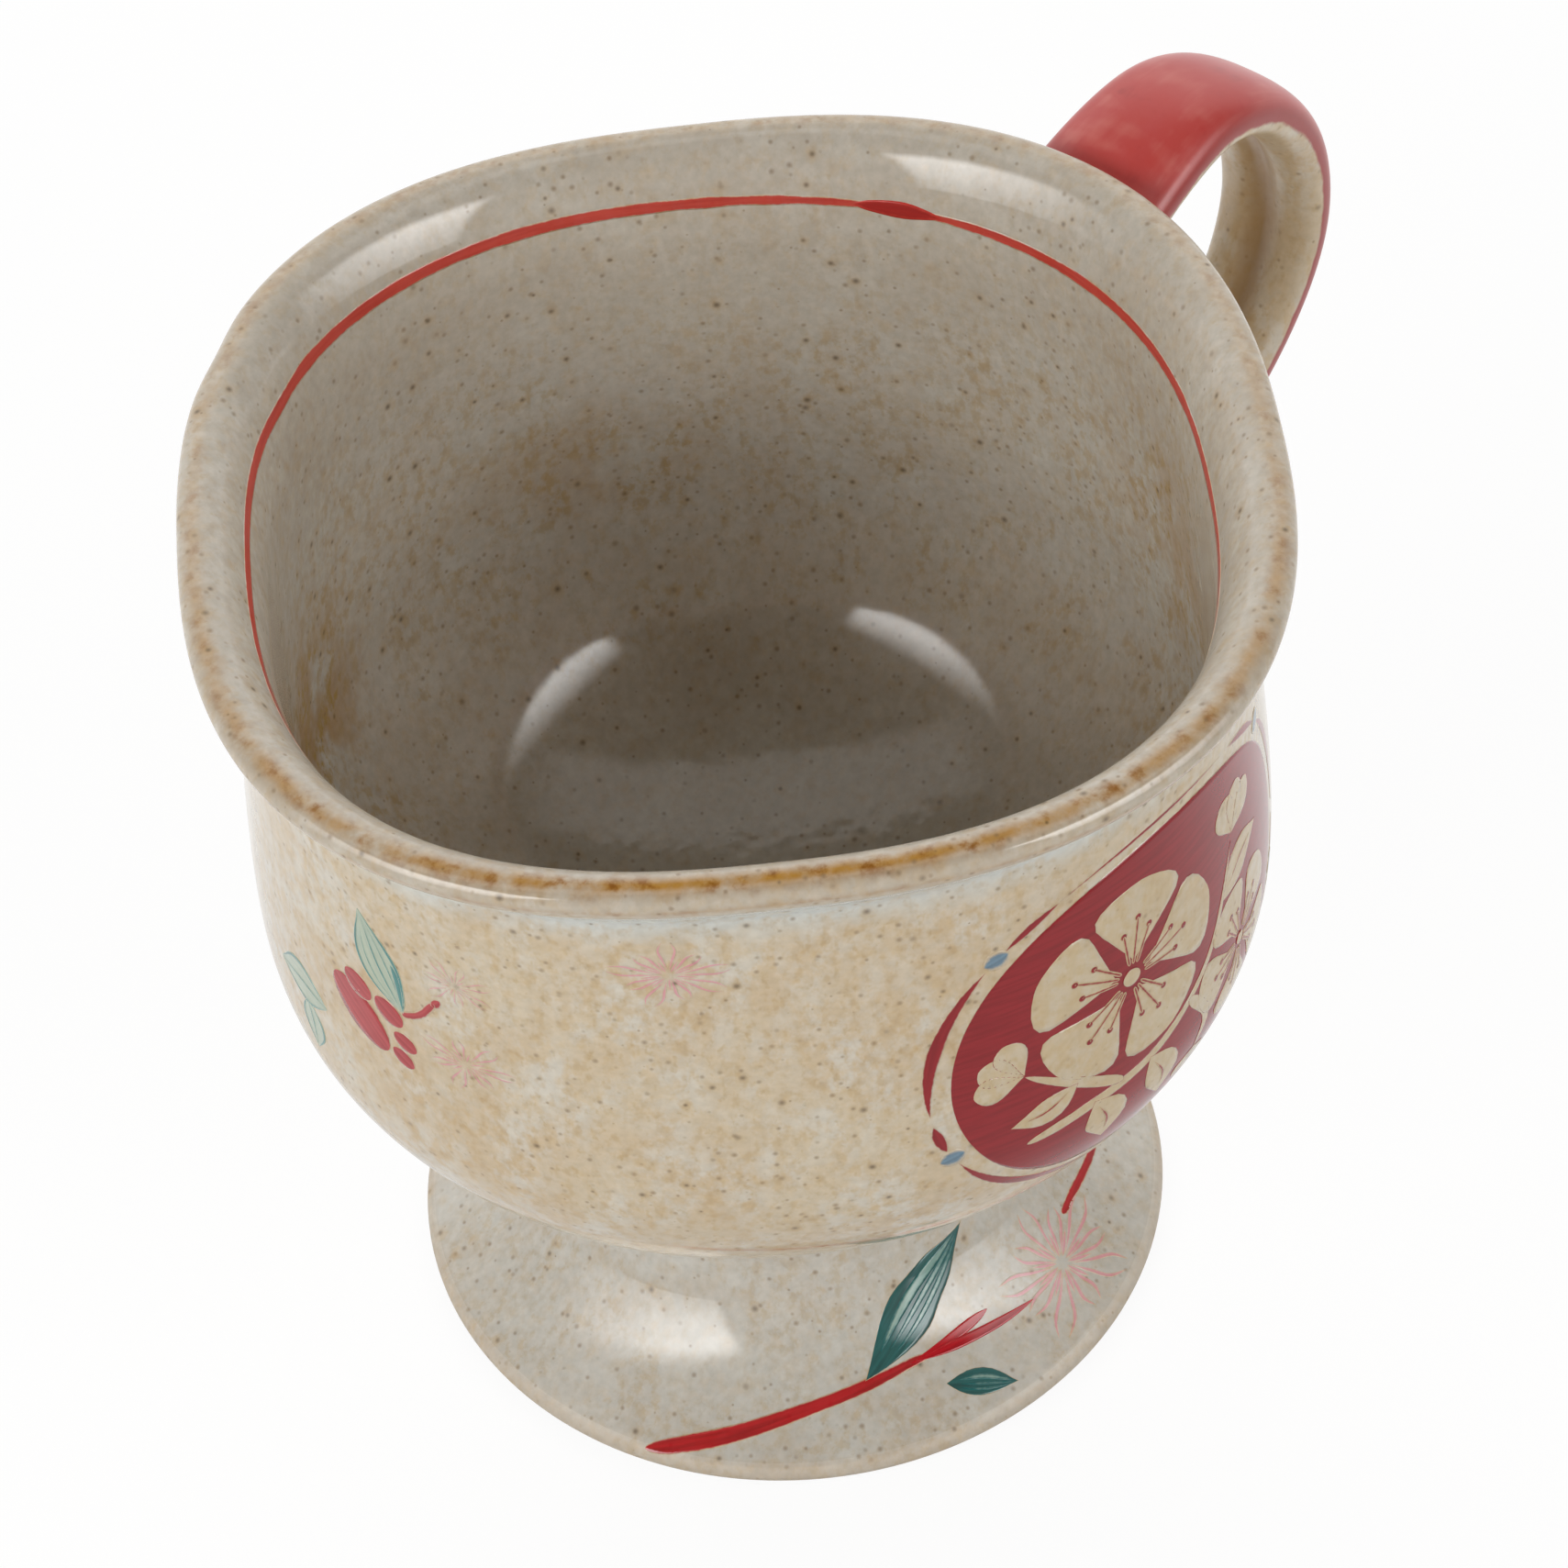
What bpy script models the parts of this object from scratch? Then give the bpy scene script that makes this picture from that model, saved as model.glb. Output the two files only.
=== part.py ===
"""Footed tea mug of glazed stoneware, in the pieces a potter makes it from.

A squared bowl with a flared lip stands on a hollow, flared foot and carries a strap handle on one corner.
Foot and handle are pieces of their own, each stuck to the bowl by a thin layer of slip. Sizes are in metres
and +Z is up. The handle points along +X, and the origin lies on the table under the middle of the mug.
"""

import math

import bmesh
import bpy
from mathutils import Vector
from mathutils.geometry import interpolate_bezier

MM = 0.001

# Joints between the pieces
GAP = 0.3 * MM  # left open between two pieces that touch
SLIP_LAYER = 0.8 * MM  # thickness of the slip that sticks two pieces together
SLIP_SQUEEZE = 0.5 * MM  # how far the slip stands out round a joint

# Foot
FOOT_WIDTH = 68.6 * MM
FOOT_HEIGHT = 20.0 * MM
FOOT_EDGE = 1.2 * MM  # rounding of the lower outer edge
FOOT_RING = 4.5 * MM  # width of the flat ring that the mug stands on
FOOT_LIFT = 4.9 * MM  # how high the flare rises before it turns in
FOOT_DRAW = 1.5 * MM  # how far the flare leans in over that rise
STEM_DROP = 11.5 * MM  # how far the upright stem reaches down into the flare
NECK_WIDTH = 41.0 * MM
NECK_WALL = 5.0 * MM

# Bowl, with heights counted from its own underside and widths taken across the flats
BOWL_HEIGHT = 70.4 * MM
BELLY_WIDTH = 86.6 * MM
BELLY_RISE = 32.6 * MM
BELLY_FULLNESS = 14.0 * MM  # how far the upright side of the belly reaches down
BELLY_WALL = 4.0 * MM
UNDERSIDE_RUN = 8.5 * MM  # outward lean of the underside where it leaves the neck
UNDERSIDE_RISE = 6.5 * MM
FLOOR_THICKNESS = 6.0 * MM
FLOOR_SPREAD = 22.0 * MM  # how far the level floor reaches out from the middle
SIDE_REACH = 10.0 * MM  # how far the side stays upright above the belly and below the throat

# Lip, with depths counted down from its crest
MOUTH_WIDTH = 89.2 * MM
MOUTH_SQUARENESS = 2.5  # exponent of the mouth's outline, where 2 is a circle
THROAT_WIDTH = 83.0 * MM
THROAT_DEPTH = 6.5 * MM
THROAT_WALL = 3.2 * MM
LIP_EDGE_DEPTH = 1.8 * MM
LIP_EDGE_ROUND = 1.8 * MM  # how far the crest lies inside the outer edge
LIP_ROLL_DEPTH = 9.5 * MM  # depth at which the inside of the lip has become the wall

# Handle, with its centre line counted outwards from the lip's corner and down from the lip's crest
HANDLE_TOP_DEPTH = 6.8 * MM
HANDLE_CREST_OUT = 10.6 * MM
HANDLE_CREST_DEPTH = 3.0 * MM
HANDLE_BOW_OUT = 27.3 * MM
HANDLE_BOW_DEPTH = 22.6 * MM
HANDLE_LOW_DEPTH = 47.2 * MM
HANDLE_SHOULDER = 8.0 * MM  # how far the crest runs on level before it turns down
HANDLE_BOW_LENGTH = 11.0 * MM  # how far the bow stays upright above and below its outermost point
HANDLE_TOP_RUN = 4.4 * MM
HANDLE_TOP_RISE = 2.1 * MM  # climb of the strap over that run from the wall
HANDLE_LOW_RUN = 19.5 * MM
HANDLE_LOW_RISE = 3.7 * MM  # climb of the strap over that run from the wall
HANDLE_TOP_WIDTH = 14.2 * MM
HANDLE_LOW_WIDTH = 9.2 * MM
HANDLE_THICKNESS = 5.2 * MM
HANDLE_SQUARENESS = 2.6  # exponent of the strap's section
GROOVE_WIDTH = 5.5 * MM
GROOVE_DEPTH = 0.9 * MM
ROOT_SINK = 6.0 * MM  # how far the strap runs on into the wall before it is trimmed

# Fineness of the meshes
TURN_STEPS = 48
CURVE_STEPS = 9
STRAP_SIDES = 20
STRAP_STEPS = 11
ROOT_STATIONS = 8  # stations of the strap that a slip pad is cut from

bowl_base = FOOT_HEIGHT + GAP + SLIP_LAYER + GAP
rim_height = bowl_base + BOWL_HEIGHT


def clear_scene():
    for old in list(bpy.data.objects):
        bpy.data.objects.remove(old, do_unlink=True)


def curve(start, leave, arrive, end, steps=CURVE_STEPS):
    """Points of one smooth stretch, as (out, up) pairs, given its ends and the two handles between."""
    ends = [Vector((out, up, 0.0)) for out, up in (start, leave, arrive, end)]
    return [(point.x, point.y) for point in interpolate_bezier(*ends, steps)]


def chain(*stretches):
    """Stretches that meet end to end, with each meeting point kept once."""
    points = list(stretches[0])
    for stretch in stretches[1:]:
        points.extend(stretch[1:])
    return points


def squareness(height):
    """Exponent of the bowl's outline at a height: round at the neck, squared at the mouth."""
    share = (height - bowl_base) / BOWL_HEIGHT
    return 2.0 + (MOUTH_SQUARENESS - 2.0) * min(max(share, 0.0), 1.0)


def outline_factor(turn, height):
    """Distance from the axis, for a half width of 1 across the flats, with corners at 0, 90, 180 and 270."""
    power = squareness(height)
    across = abs(math.cos(turn - math.pi / 4)) ** power
    along = abs(math.sin(turn - math.pi / 4)) ** power
    return (across + along) ** (-1.0 / power)


def foot_profile():
    """Closed outline of the hollow foot, as (out, up) pairs."""
    rim = FOOT_WIDTH / 2
    neck = NECK_WIDTH / 2
    ring_outer = rim - FOOT_EDGE
    ring_inner = ring_outer - FOOT_RING
    bore = neck - NECK_WALL
    stem = FOOT_HEIGHT - STEM_DROP
    edge_pull = FOOT_EDGE / 2
    edge = curve((ring_outer, 0.0), (rim - edge_pull, 0.0), (rim, edge_pull), (rim, FOOT_EDGE), 5)
    flare_in = (rim - FOOT_DRAW, FOOT_EDGE + FOOT_LIFT)
    outside = curve((rim, FOOT_EDGE), flare_in, (neck, stem), (neck, FOOT_HEIGHT))
    hollow_in = (ring_inner - FOOT_DRAW, FOOT_LIFT)
    inside = curve((bore, FOOT_HEIGHT), (bore, stem), hollow_in, (ring_inner, 0.0))
    return chain(edge, outside) + inside


def foot_slip_profile():
    """Closed outline of the slip ring between foot and bowl, with its squeezed-out bead."""
    neck = NECK_WIDTH / 2
    low = FOOT_HEIGHT + GAP
    high = low + SLIP_LAYER
    bore = neck - NECK_WALL
    return [(bore, low), (neck, low), (neck + SLIP_SQUEEZE, (low + high) / 2), (neck, high), (bore, high)]


def bowl_outside():
    """Outer side of the bowl from the neck up to the outer edge of the lip, as (out, up) pairs."""
    neck = NECK_WIDTH / 2
    belly = BELLY_WIDTH / 2
    throat = THROAT_WIDTH / 2
    edge = MOUTH_WIDTH / 2
    belly_up = bowl_base + BELLY_RISE
    throat_up = rim_height - THROAT_DEPTH
    edge_up = rim_height - LIP_EDGE_DEPTH
    half_flare = (throat_up + edge_up) / 2
    under_end = (neck + UNDERSIDE_RUN, bowl_base + UNDERSIDE_RISE)
    under = curve((neck, bowl_base), under_end, (belly, belly_up - BELLY_FULLNESS), (belly, belly_up), 11)
    side_low = (belly, belly_up + SIDE_REACH)
    side_high = (throat, throat_up - SIDE_REACH)
    side = curve((belly, belly_up), side_low, side_high, (throat, throat_up))
    flare = curve((throat, throat_up), (throat, half_flare), (edge, half_flare), (edge, edge_up), 6)
    return chain(under, side, flare)


def bowl_inside():
    """Inner side of the bowl from the crest of the lip down to the middle of the floor."""
    belly = BELLY_WIDTH / 2 - BELLY_WALL
    throat = THROAT_WIDTH / 2 - THROAT_WALL
    crest = MOUTH_WIDTH / 2 - LIP_EDGE_ROUND
    belly_up = bowl_base + BELLY_RISE
    roll_up = rim_height - LIP_ROLL_DEPTH
    floor_up = bowl_base + FLOOR_THICKNESS
    roll_leave = (crest - LIP_EDGE_ROUND / 2, rim_height)
    roll_arrive = (throat, roll_up + LIP_ROLL_DEPTH / 2)
    roll = curve((crest, rim_height), roll_leave, roll_arrive, (throat, roll_up), 8)
    side_high = (throat, roll_up - SIDE_REACH)
    side_low = (belly, belly_up + SIDE_REACH)
    side = curve((throat, roll_up), side_high, side_low, (belly, belly_up), 7)
    floor_end = (FLOOR_SPREAD, floor_up)
    floor = curve((belly, belly_up), (belly, belly_up - BELLY_FULLNESS), floor_end, (0.0, floor_up), 12)
    return chain(roll, side, floor)


def bowl_profile():
    """Whole outline of the bowl, from mid-underside over the lip to mid-floor."""
    edge = MOUTH_WIDTH / 2
    edge_up = rim_height - LIP_EDGE_DEPTH
    crest = edge - LIP_EDGE_ROUND
    over = curve(
        (edge, edge_up),
        (edge, edge_up + LIP_EDGE_DEPTH / 2),
        (crest + LIP_EDGE_ROUND / 2, rim_height),
        (crest, rim_height),
        5,
    )
    return [(0.0, bowl_base)] + chain(bowl_outside(), over, bowl_inside())


def bowl_envelope(clearance):
    """Outline of the filled bowl, moved out by a clearance and carried straight up past the lip."""
    side = bowl_outside()
    moved = [(0.0, bowl_base - clearance)]
    for index, (out, up) in enumerate(side):
        before = side[max(index - 1, 0)]
        after = side[min(index + 1, len(side) - 1)]
        along = Vector((after[0] - before[0], after[1] - before[1])).normalized()
        moved.append((out + along.y * clearance, up - along.x * clearance))
    top = rim_height + ROOT_SINK
    return moved + [(moved[-1][0], top), (0.0, top)]


def wall_out(height):
    """Distance from the axis to the bowl's outer wall at a height, along a corner."""
    side = bowl_outside()
    for (low_out, low_up), (high_out, high_up) in zip(side, side[1:]):
        if low_up <= height <= high_up:
            share = (height - low_up) / (high_up - low_up)
            return (low_out + (high_out - low_out) * share) * outline_factor(0.0, height)
    return side[-1][0] * outline_factor(0.0, height)


def lip_corner():
    """Distance from the axis to the outer edge of the lip at a corner."""
    return MOUTH_WIDTH / 2 * outline_factor(0.0, rim_height - LIP_EDGE_DEPTH)


def handle_reach():
    """Distance from the axis to the strap's outer face, where it bows out most."""
    return lip_corner() + HANDLE_BOW_OUT + HANDLE_THICKNESS / 2


def handle_line():
    """Centre line of the strap, from inside the wall below the lip to inside the wall below the belly."""
    corner = lip_corner()
    top_up = rim_height - HANDLE_TOP_DEPTH
    low_up = rim_height - HANDLE_LOW_DEPTH
    top = Vector((wall_out(top_up), top_up))
    low = Vector((wall_out(low_up), low_up))
    crest = Vector((corner + HANDLE_CREST_OUT, rim_height - HANDLE_CREST_DEPTH))
    bow = Vector((corner + HANDLE_BOW_OUT, rim_height - HANDLE_BOW_DEPTH))
    top_lean = Vector((HANDLE_TOP_RUN, HANDLE_TOP_RISE))
    low_lean = Vector((HANDLE_LOW_RUN, HANDLE_LOW_RISE))
    level = Vector((HANDLE_SHOULDER, 0.0))
    upright = Vector((0.0, HANDLE_BOW_LENGTH))
    rise = curve(top, top + top_lean, crest - top_lean.x * Vector((1.0, 0.0)), crest, STRAP_STEPS)
    turn = curve(crest, crest + level, bow + upright, bow, STRAP_STEPS)
    fall = curve(bow, bow - upright, low + low_lean, low, STRAP_STEPS)
    sunk_top = top - top_lean.normalized() * ROOT_SINK
    sunk_low = low - low_lean.normalized() * ROOT_SINK
    return [tuple(sunk_top)] + chain(rise, turn, fall) + [tuple(sunk_low)]


def strap_ring(place, along, width, thickness):
    """Section of the strap at one place: flat oval, with a groove along its inner face."""
    outward = Vector((-along.y, along.x))
    fullness = 2 / HANDLE_SQUARENESS
    ring = []
    for side in range(STRAP_SIDES):
        angle = 2 * math.pi * side / STRAP_SIDES
        across = math.copysign(abs(math.cos(angle)) ** fullness, math.cos(angle)) * width / 2
        proud = math.copysign(abs(math.sin(angle)) ** fullness, math.sin(angle)) * thickness / 2
        if proud < 0.0 and abs(across) < GROOVE_WIDTH / 2:
            proud += GROOVE_DEPTH * math.cos(math.pi * across / GROOVE_WIDTH) ** 2
        point = place + outward * proud
        ring.append((point.x, across, point.y))
    return ring


def strap_rings(extra=0.0):
    """Sections along the whole strap, each made wider and thicker all round by an extra amount."""
    line = [Vector(point) for point in handle_line()]
    rings = []
    for index, place in enumerate(line):
        before = line[max(index - 1, 0)]
        after = line[min(index + 1, len(line) - 1)]
        share = index / (len(line) - 1)
        width = HANDLE_TOP_WIDTH + (HANDLE_LOW_WIDTH - HANDLE_TOP_WIDTH) * share
        along = (after - before).normalized()
        rings.append(strap_ring(place, along, width + 2 * extra, HANDLE_THICKNESS + 2 * extra))
    return rings


def finish_mesh(shell, name):
    """Mesh object of a built shell, with its faces turned outwards and shaded smooth."""
    bmesh.ops.recalc_face_normals(shell, faces=shell.faces)
    mesh = bpy.data.meshes.new(name)
    shell.to_mesh(mesh)
    shell.free()
    mesh.shade_smooth()
    mesh.set_sharp_from_angle(angle=math.radians(40))
    piece = bpy.data.objects.new(name, mesh)
    bpy.context.scene.collection.objects.link(piece)
    return piece


def turned(name, profile, closed, squared):
    """Solid turned about the axis from an outline, then squared as the bowl is if asked."""
    shell = bmesh.new()
    points = [shell.verts.new((out, 0.0, up)) for out, up in profile]
    for first, second in zip(points, points[1:]):
        shell.edges.new((first, second))
    if closed:
        shell.edges.new((points[-1], points[0]))
    bmesh.ops.spin(
        shell,
        geom=shell.verts[:] + shell.edges[:],
        cent=(0.0, 0.0, 0.0),
        axis=(0.0, 0.0, 1.0),
        angle=2 * math.pi,
        steps=TURN_STEPS,
        use_merge=True,
    )
    bmesh.ops.remove_doubles(shell, verts=shell.verts, dist=0.001 * MM)
    if squared:
        for vert in shell.verts:
            factor = outline_factor(math.atan2(vert.co.y, vert.co.x), vert.co.z)
            vert.co.x *= factor
            vert.co.y *= factor
    return finish_mesh(shell, name)


def swept(name, rings):
    """Solid through a row of rings, capped at both ends."""
    shell = bmesh.new()
    loops = []
    for ring in rings:
        corners = [shell.verts.new(point) for point in ring]
        sides = zip(corners, corners[1:] + corners[:1])
        loops.append([shell.edges.new(side) for side in sides])
    for before, after in zip(loops, loops[1:]):
        bmesh.ops.bridge_loops(shell, edges=before + after)
    bmesh.ops.edgeloop_fill(shell, edges=loops[0])
    bmesh.ops.edgeloop_fill(shell, edges=loops[-1])
    return finish_mesh(shell, name)


def trim(piece, cutter, operation):
    """Trims a piece by a cutter, with a live Boolean."""
    cut = piece.modifiers.new(cutter.name, "BOOLEAN")
    cut.operation = operation
    cut.object = cutter
    cut.solver = "EXACT"


def envelope_cutter(name, clearance):
    """Filled bowl, larger by a clearance, which shows only as a wire guide."""
    cutter = turned(name, bowl_envelope(clearance), closed=False, squared=True)
    cutter.hide_render = True
    cutter.display_type = "WIRE"
    return cutter


def glaze(piece, colour, roughness):
    """Gives a piece a glazed or bare clay material of its own."""
    material = bpy.data.materials.new(piece.name + "_clay")
    material.use_nodes = True
    shader = material.node_tree.nodes["Principled BSDF"]
    shader.inputs["Base Color"].default_value = (*colour, 1.0)
    shader.inputs["Roughness"].default_value = roughness
    shader.inputs["Metallic"].default_value = 0.0
    piece.data.materials.append(material)


def build():
    clear_scene()
    slip_low = GAP
    slip_high = slip_low + SLIP_LAYER
    handle_seat = slip_high + GAP
    pad_rings = strap_rings(SLIP_SQUEEZE)

    foot = turned("pedestal_foot", foot_profile(), closed=True, squared=False)
    foot_slip = turned("foot_slip_joint", foot_slip_profile(), closed=True, squared=False)
    bowl = turned("bowl", bowl_profile(), closed=False, squared=True)
    handle = swept("strap_handle", strap_rings())
    upper_slip = swept("upper_handle_slip_joint", pad_rings[:ROOT_STATIONS])
    lower_slip = swept("lower_handle_slip_joint", pad_rings[-ROOT_STATIONS:])

    against_bowl = envelope_cutter("bowl_clearance", slip_low)
    slip_limit = envelope_cutter("slip_limit", slip_high)
    against_slip = envelope_cutter("slip_clearance", handle_seat)
    trim(handle, against_slip, "DIFFERENCE")
    for pad in (upper_slip, lower_slip):
        trim(pad, slip_limit, "INTERSECT")
        trim(pad, against_bowl, "DIFFERENCE")

    cream = (0.60, 0.50, 0.37)
    red = (0.40, 0.03, 0.04)
    bare_clay = (0.42, 0.30, 0.19)
    glaze(bowl, cream, 0.25)
    glaze(foot, cream, 0.2)
    glaze(handle, red, 0.3)
    for joint in (foot_slip, upper_slip, lower_slip):
        glaze(joint, bare_clay, 0.6)

    axis = bpy.data.objects.new("cup_axis", None)
    bpy.context.scene.collection.objects.link(axis)
    axis.location.x = (lip_corner() - handle_reach()) / 2
    pieces = (foot, foot_slip, bowl, handle, upper_slip, lower_slip)
    for piece in pieces + (against_bowl, slip_limit, against_slip):
        piece.parent = axis


build()
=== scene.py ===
"""Looks of a hand-painted stoneware tea mug on a flared foot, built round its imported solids.

Shapes are worked out in millimetres about the mug's own upright axis and set down in metres on the frame's
axis. The handle points along +X, turns are counted from there in degrees, and corners of the squared bowl lie
at 0, 90, 180 and 270.
"""

import logging
import math
from dataclasses import dataclass, field
from enum import Enum
from typing import Iterable, Optional, Sequence, Union

import bmesh
import bpy
from mathutils import Matrix, Vector, noise
from mathutils.geometry import interpolate_bezier

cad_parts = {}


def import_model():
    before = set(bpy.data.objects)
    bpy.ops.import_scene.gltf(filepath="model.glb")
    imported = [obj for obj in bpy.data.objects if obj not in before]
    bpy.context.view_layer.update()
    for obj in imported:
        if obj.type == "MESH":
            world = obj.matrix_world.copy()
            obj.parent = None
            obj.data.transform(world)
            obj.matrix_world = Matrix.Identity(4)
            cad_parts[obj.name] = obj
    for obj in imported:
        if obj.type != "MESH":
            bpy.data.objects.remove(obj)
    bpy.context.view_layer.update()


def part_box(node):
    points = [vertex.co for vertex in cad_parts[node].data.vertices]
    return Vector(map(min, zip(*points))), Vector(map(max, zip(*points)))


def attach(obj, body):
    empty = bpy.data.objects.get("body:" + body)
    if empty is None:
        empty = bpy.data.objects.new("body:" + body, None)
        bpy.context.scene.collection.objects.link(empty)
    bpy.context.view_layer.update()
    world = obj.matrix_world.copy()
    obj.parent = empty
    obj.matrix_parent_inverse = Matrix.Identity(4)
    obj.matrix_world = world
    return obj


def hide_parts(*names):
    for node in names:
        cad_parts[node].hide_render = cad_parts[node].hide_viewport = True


LOG = logging.getLogger("tea_mug")
MM = 0.001
SHARP_FOLD = 120.0  # degrees past which an edge is shaded as a fold
PHOTO_PIXELS = 1709
UNIT = (0.0, 1.0)
LINE_PARTS = 8  # parts of a line that is drawn along a curve

Tree = bpy.types.NodeTree
Node = bpy.types.Node
Socket = bpy.types.NodeSocket
Material = bpy.types.Material
Piece = bpy.types.Object
Shell = bmesh.types.BMesh
Pair = tuple[float, float]
Point = Union[Pair, Vector]
Marks = dict[bmesh.types.BMVert, Pair]
Value = Union[float, int, bool, str, Sequence[float], Socket]
Span = tuple[Value, Value]


def linear(colour: str) -> tuple[float, float, float, float]:
    """Linear colour of an sRGB hex value.

    Args:
        colour: Six hex digits after a hash.

    Returns:
        Red, green, blue and an alpha of 1.
    """
    shares = [int(colour[at:at + 2], 16) / 255 for at in (1, 3, 5)]
    lit = [share / 12.92 if share <= 0.04045 else ((share + 0.055) / 1.055) ** 2.4 for share in shares]
    return lit[0], lit[1], lit[2], 1.0


def per(size: float) -> float:
    """Texture scale that makes one feature of a pattern this many millimetres wide."""
    return 1.0 / (size * MM)


def add(tree: Tree, kind: str, inputs: dict[Union[str, int], Value], **settings: Union[Value, Tree]) -> Node:
    """Adds one node with its settings and links.

    Args:
        tree: The tree that gets the node.
        kind: The node's type name.
        inputs: Values or linked sockets, by input name or number.
        settings: The node's own properties.

    Returns:
        The new node.
    """
    made = tree.nodes.new(kind)
    for name, value in settings.items():
        setattr(made, name, value)
    for name, value in inputs.items():
        if isinstance(value, Socket):
            tree.links.new(value, made.inputs[name])
        else:
            made.inputs[name].default_value = value
    return made


def maths(tree: Tree, operation: str, *values: Value) -> Socket:
    """Result of one operation on values or sockets."""
    return add(tree, "ShaderNodeMath", dict(enumerate(values)), operation=operation).outputs[0]


def ranged(tree: Tree, value: Value, start: Span, end: Span, smooth: bool = True) -> Socket:
    """A value carried from one range to another and held within it.

    Args:
        tree: The tree that gets the node.
        value: The value.
        start: Both ends of the range that it comes from.
        end: Both ends of the range that it goes to.
        smooth: Whether it leaves and arrives softly.

    Returns:
        The new value.
    """
    ends = {"From Min": start[0], "From Max": start[1], "To Min": end[0], "To Max": end[1]}
    kind = "SMOOTHSTEP" if smooth else "LINEAR"
    made = add(tree, "ShaderNodeMapRange", {"Value": value, **ends}, interpolation_type=kind)
    return made.outputs["Result"]


def blend(tree: Tree, share: Value, under: Value, over: Value) -> Socket:
    """A colour laid over another by a share."""
    return add(tree, "ShaderNodeMix", {0: share, 6: under, 7: over}, data_type="RGBA").outputs[2]


def mark(tree: Tree, name: str) -> Socket:
    """A number that the mesh carries at each point."""
    return add(tree, "ShaderNodeAttribute", {}, attribute_name=name).outputs["Fac"]


def mottle(tree: Tree, vector: Socket, scale: float, detail: float) -> Socket:
    """Plain noise of a scale and a detail."""
    noisy = {"Vector": vector, "Scale": scale, "Detail": detail}
    return add(tree, "ShaderNodeTexNoise", noisy).outputs["Fac"]


def reach_along(tree: Tree, vector: Socket, axis: Sequence[float]) -> Socket:
    """How far a vector reaches along an axis."""
    return add(tree, "ShaderNodeVectorMath", {0: vector, 1: axis}, operation="DOT_PRODUCT").outputs["Value"]


def brush_streaks(tree: Tree, length: float, width: float, detail: float) -> tuple[Socket, Socket]:
    """Streaks that a brush leaves along its stroke.

    Args:
        tree: The tree that gets the nodes.
        length: Length of a streak in millimetres.
        width: Width of a streak in millimetres.
        detail: Detail of the noise.

    Returns:
        The stroke's own coordinates in millimetres, and the streaks.
    """
    brush = add(tree, "ShaderNodeUVMap", {}, uv_map="brush").outputs["UV"]
    scale = (1.0 / length, 1.0 / width, 1.0)
    lay = add(tree, "ShaderNodeMapping", {"Vector": brush, "Scale": scale}).outputs["Vector"]
    return brush, mottle(tree, lay, 1.0, detail)


def empty_material(name: str) -> tuple[Material, Tree]:
    """A new material without nodes, and its tree."""
    made = bpy.data.materials.new(name)
    made.use_nodes = True
    made.node_tree.nodes.clear()
    return made, made.node_tree


def curve(start: Point, leave: Point, arrive: Point, end: Point, steps: int) -> list[Pair]:
    """Points of one smooth stretch of an outline.

    Args:
        start: First end, as out and up.
        leave: Handle of the first end.
        arrive: Handle of the second end.
        end: Second end.
        steps: How many points.

    Returns:
        The points, both ends included.
    """
    ends = [Vector((out, up, 0.0)) for out, up in (start, leave, arrive, end)]
    return [(point.x, point.y) for point in interpolate_bezier(*ends, steps)]


def chain(*stretches: Sequence[Pair]) -> list[Pair]:
    """Stretches that meet end to end, with each meeting point kept once."""
    points = list(stretches[0])
    for stretch in stretches[1:]:
        points.extend(stretch[1:])
    return points


def bell(distance: float, spread: float) -> float:
    """A smooth hump, 1 at no distance and fading over the spread."""
    return math.exp(-((distance / spread) ** 2))


def step(value: float, low: float, high: float) -> float:
    """A smooth rise from 0 below low to 1 above high."""
    share = min(max((value - low) / (high - low), 0.0), 1.0)
    return share * share * (3.0 - 2.0 * share)


def turn_apart(turn: float, other: float) -> float:
    """How far two turns lie apart, in degrees, the short way round."""
    return abs((turn - other + 180.0) % 360.0 - 180.0)


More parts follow.
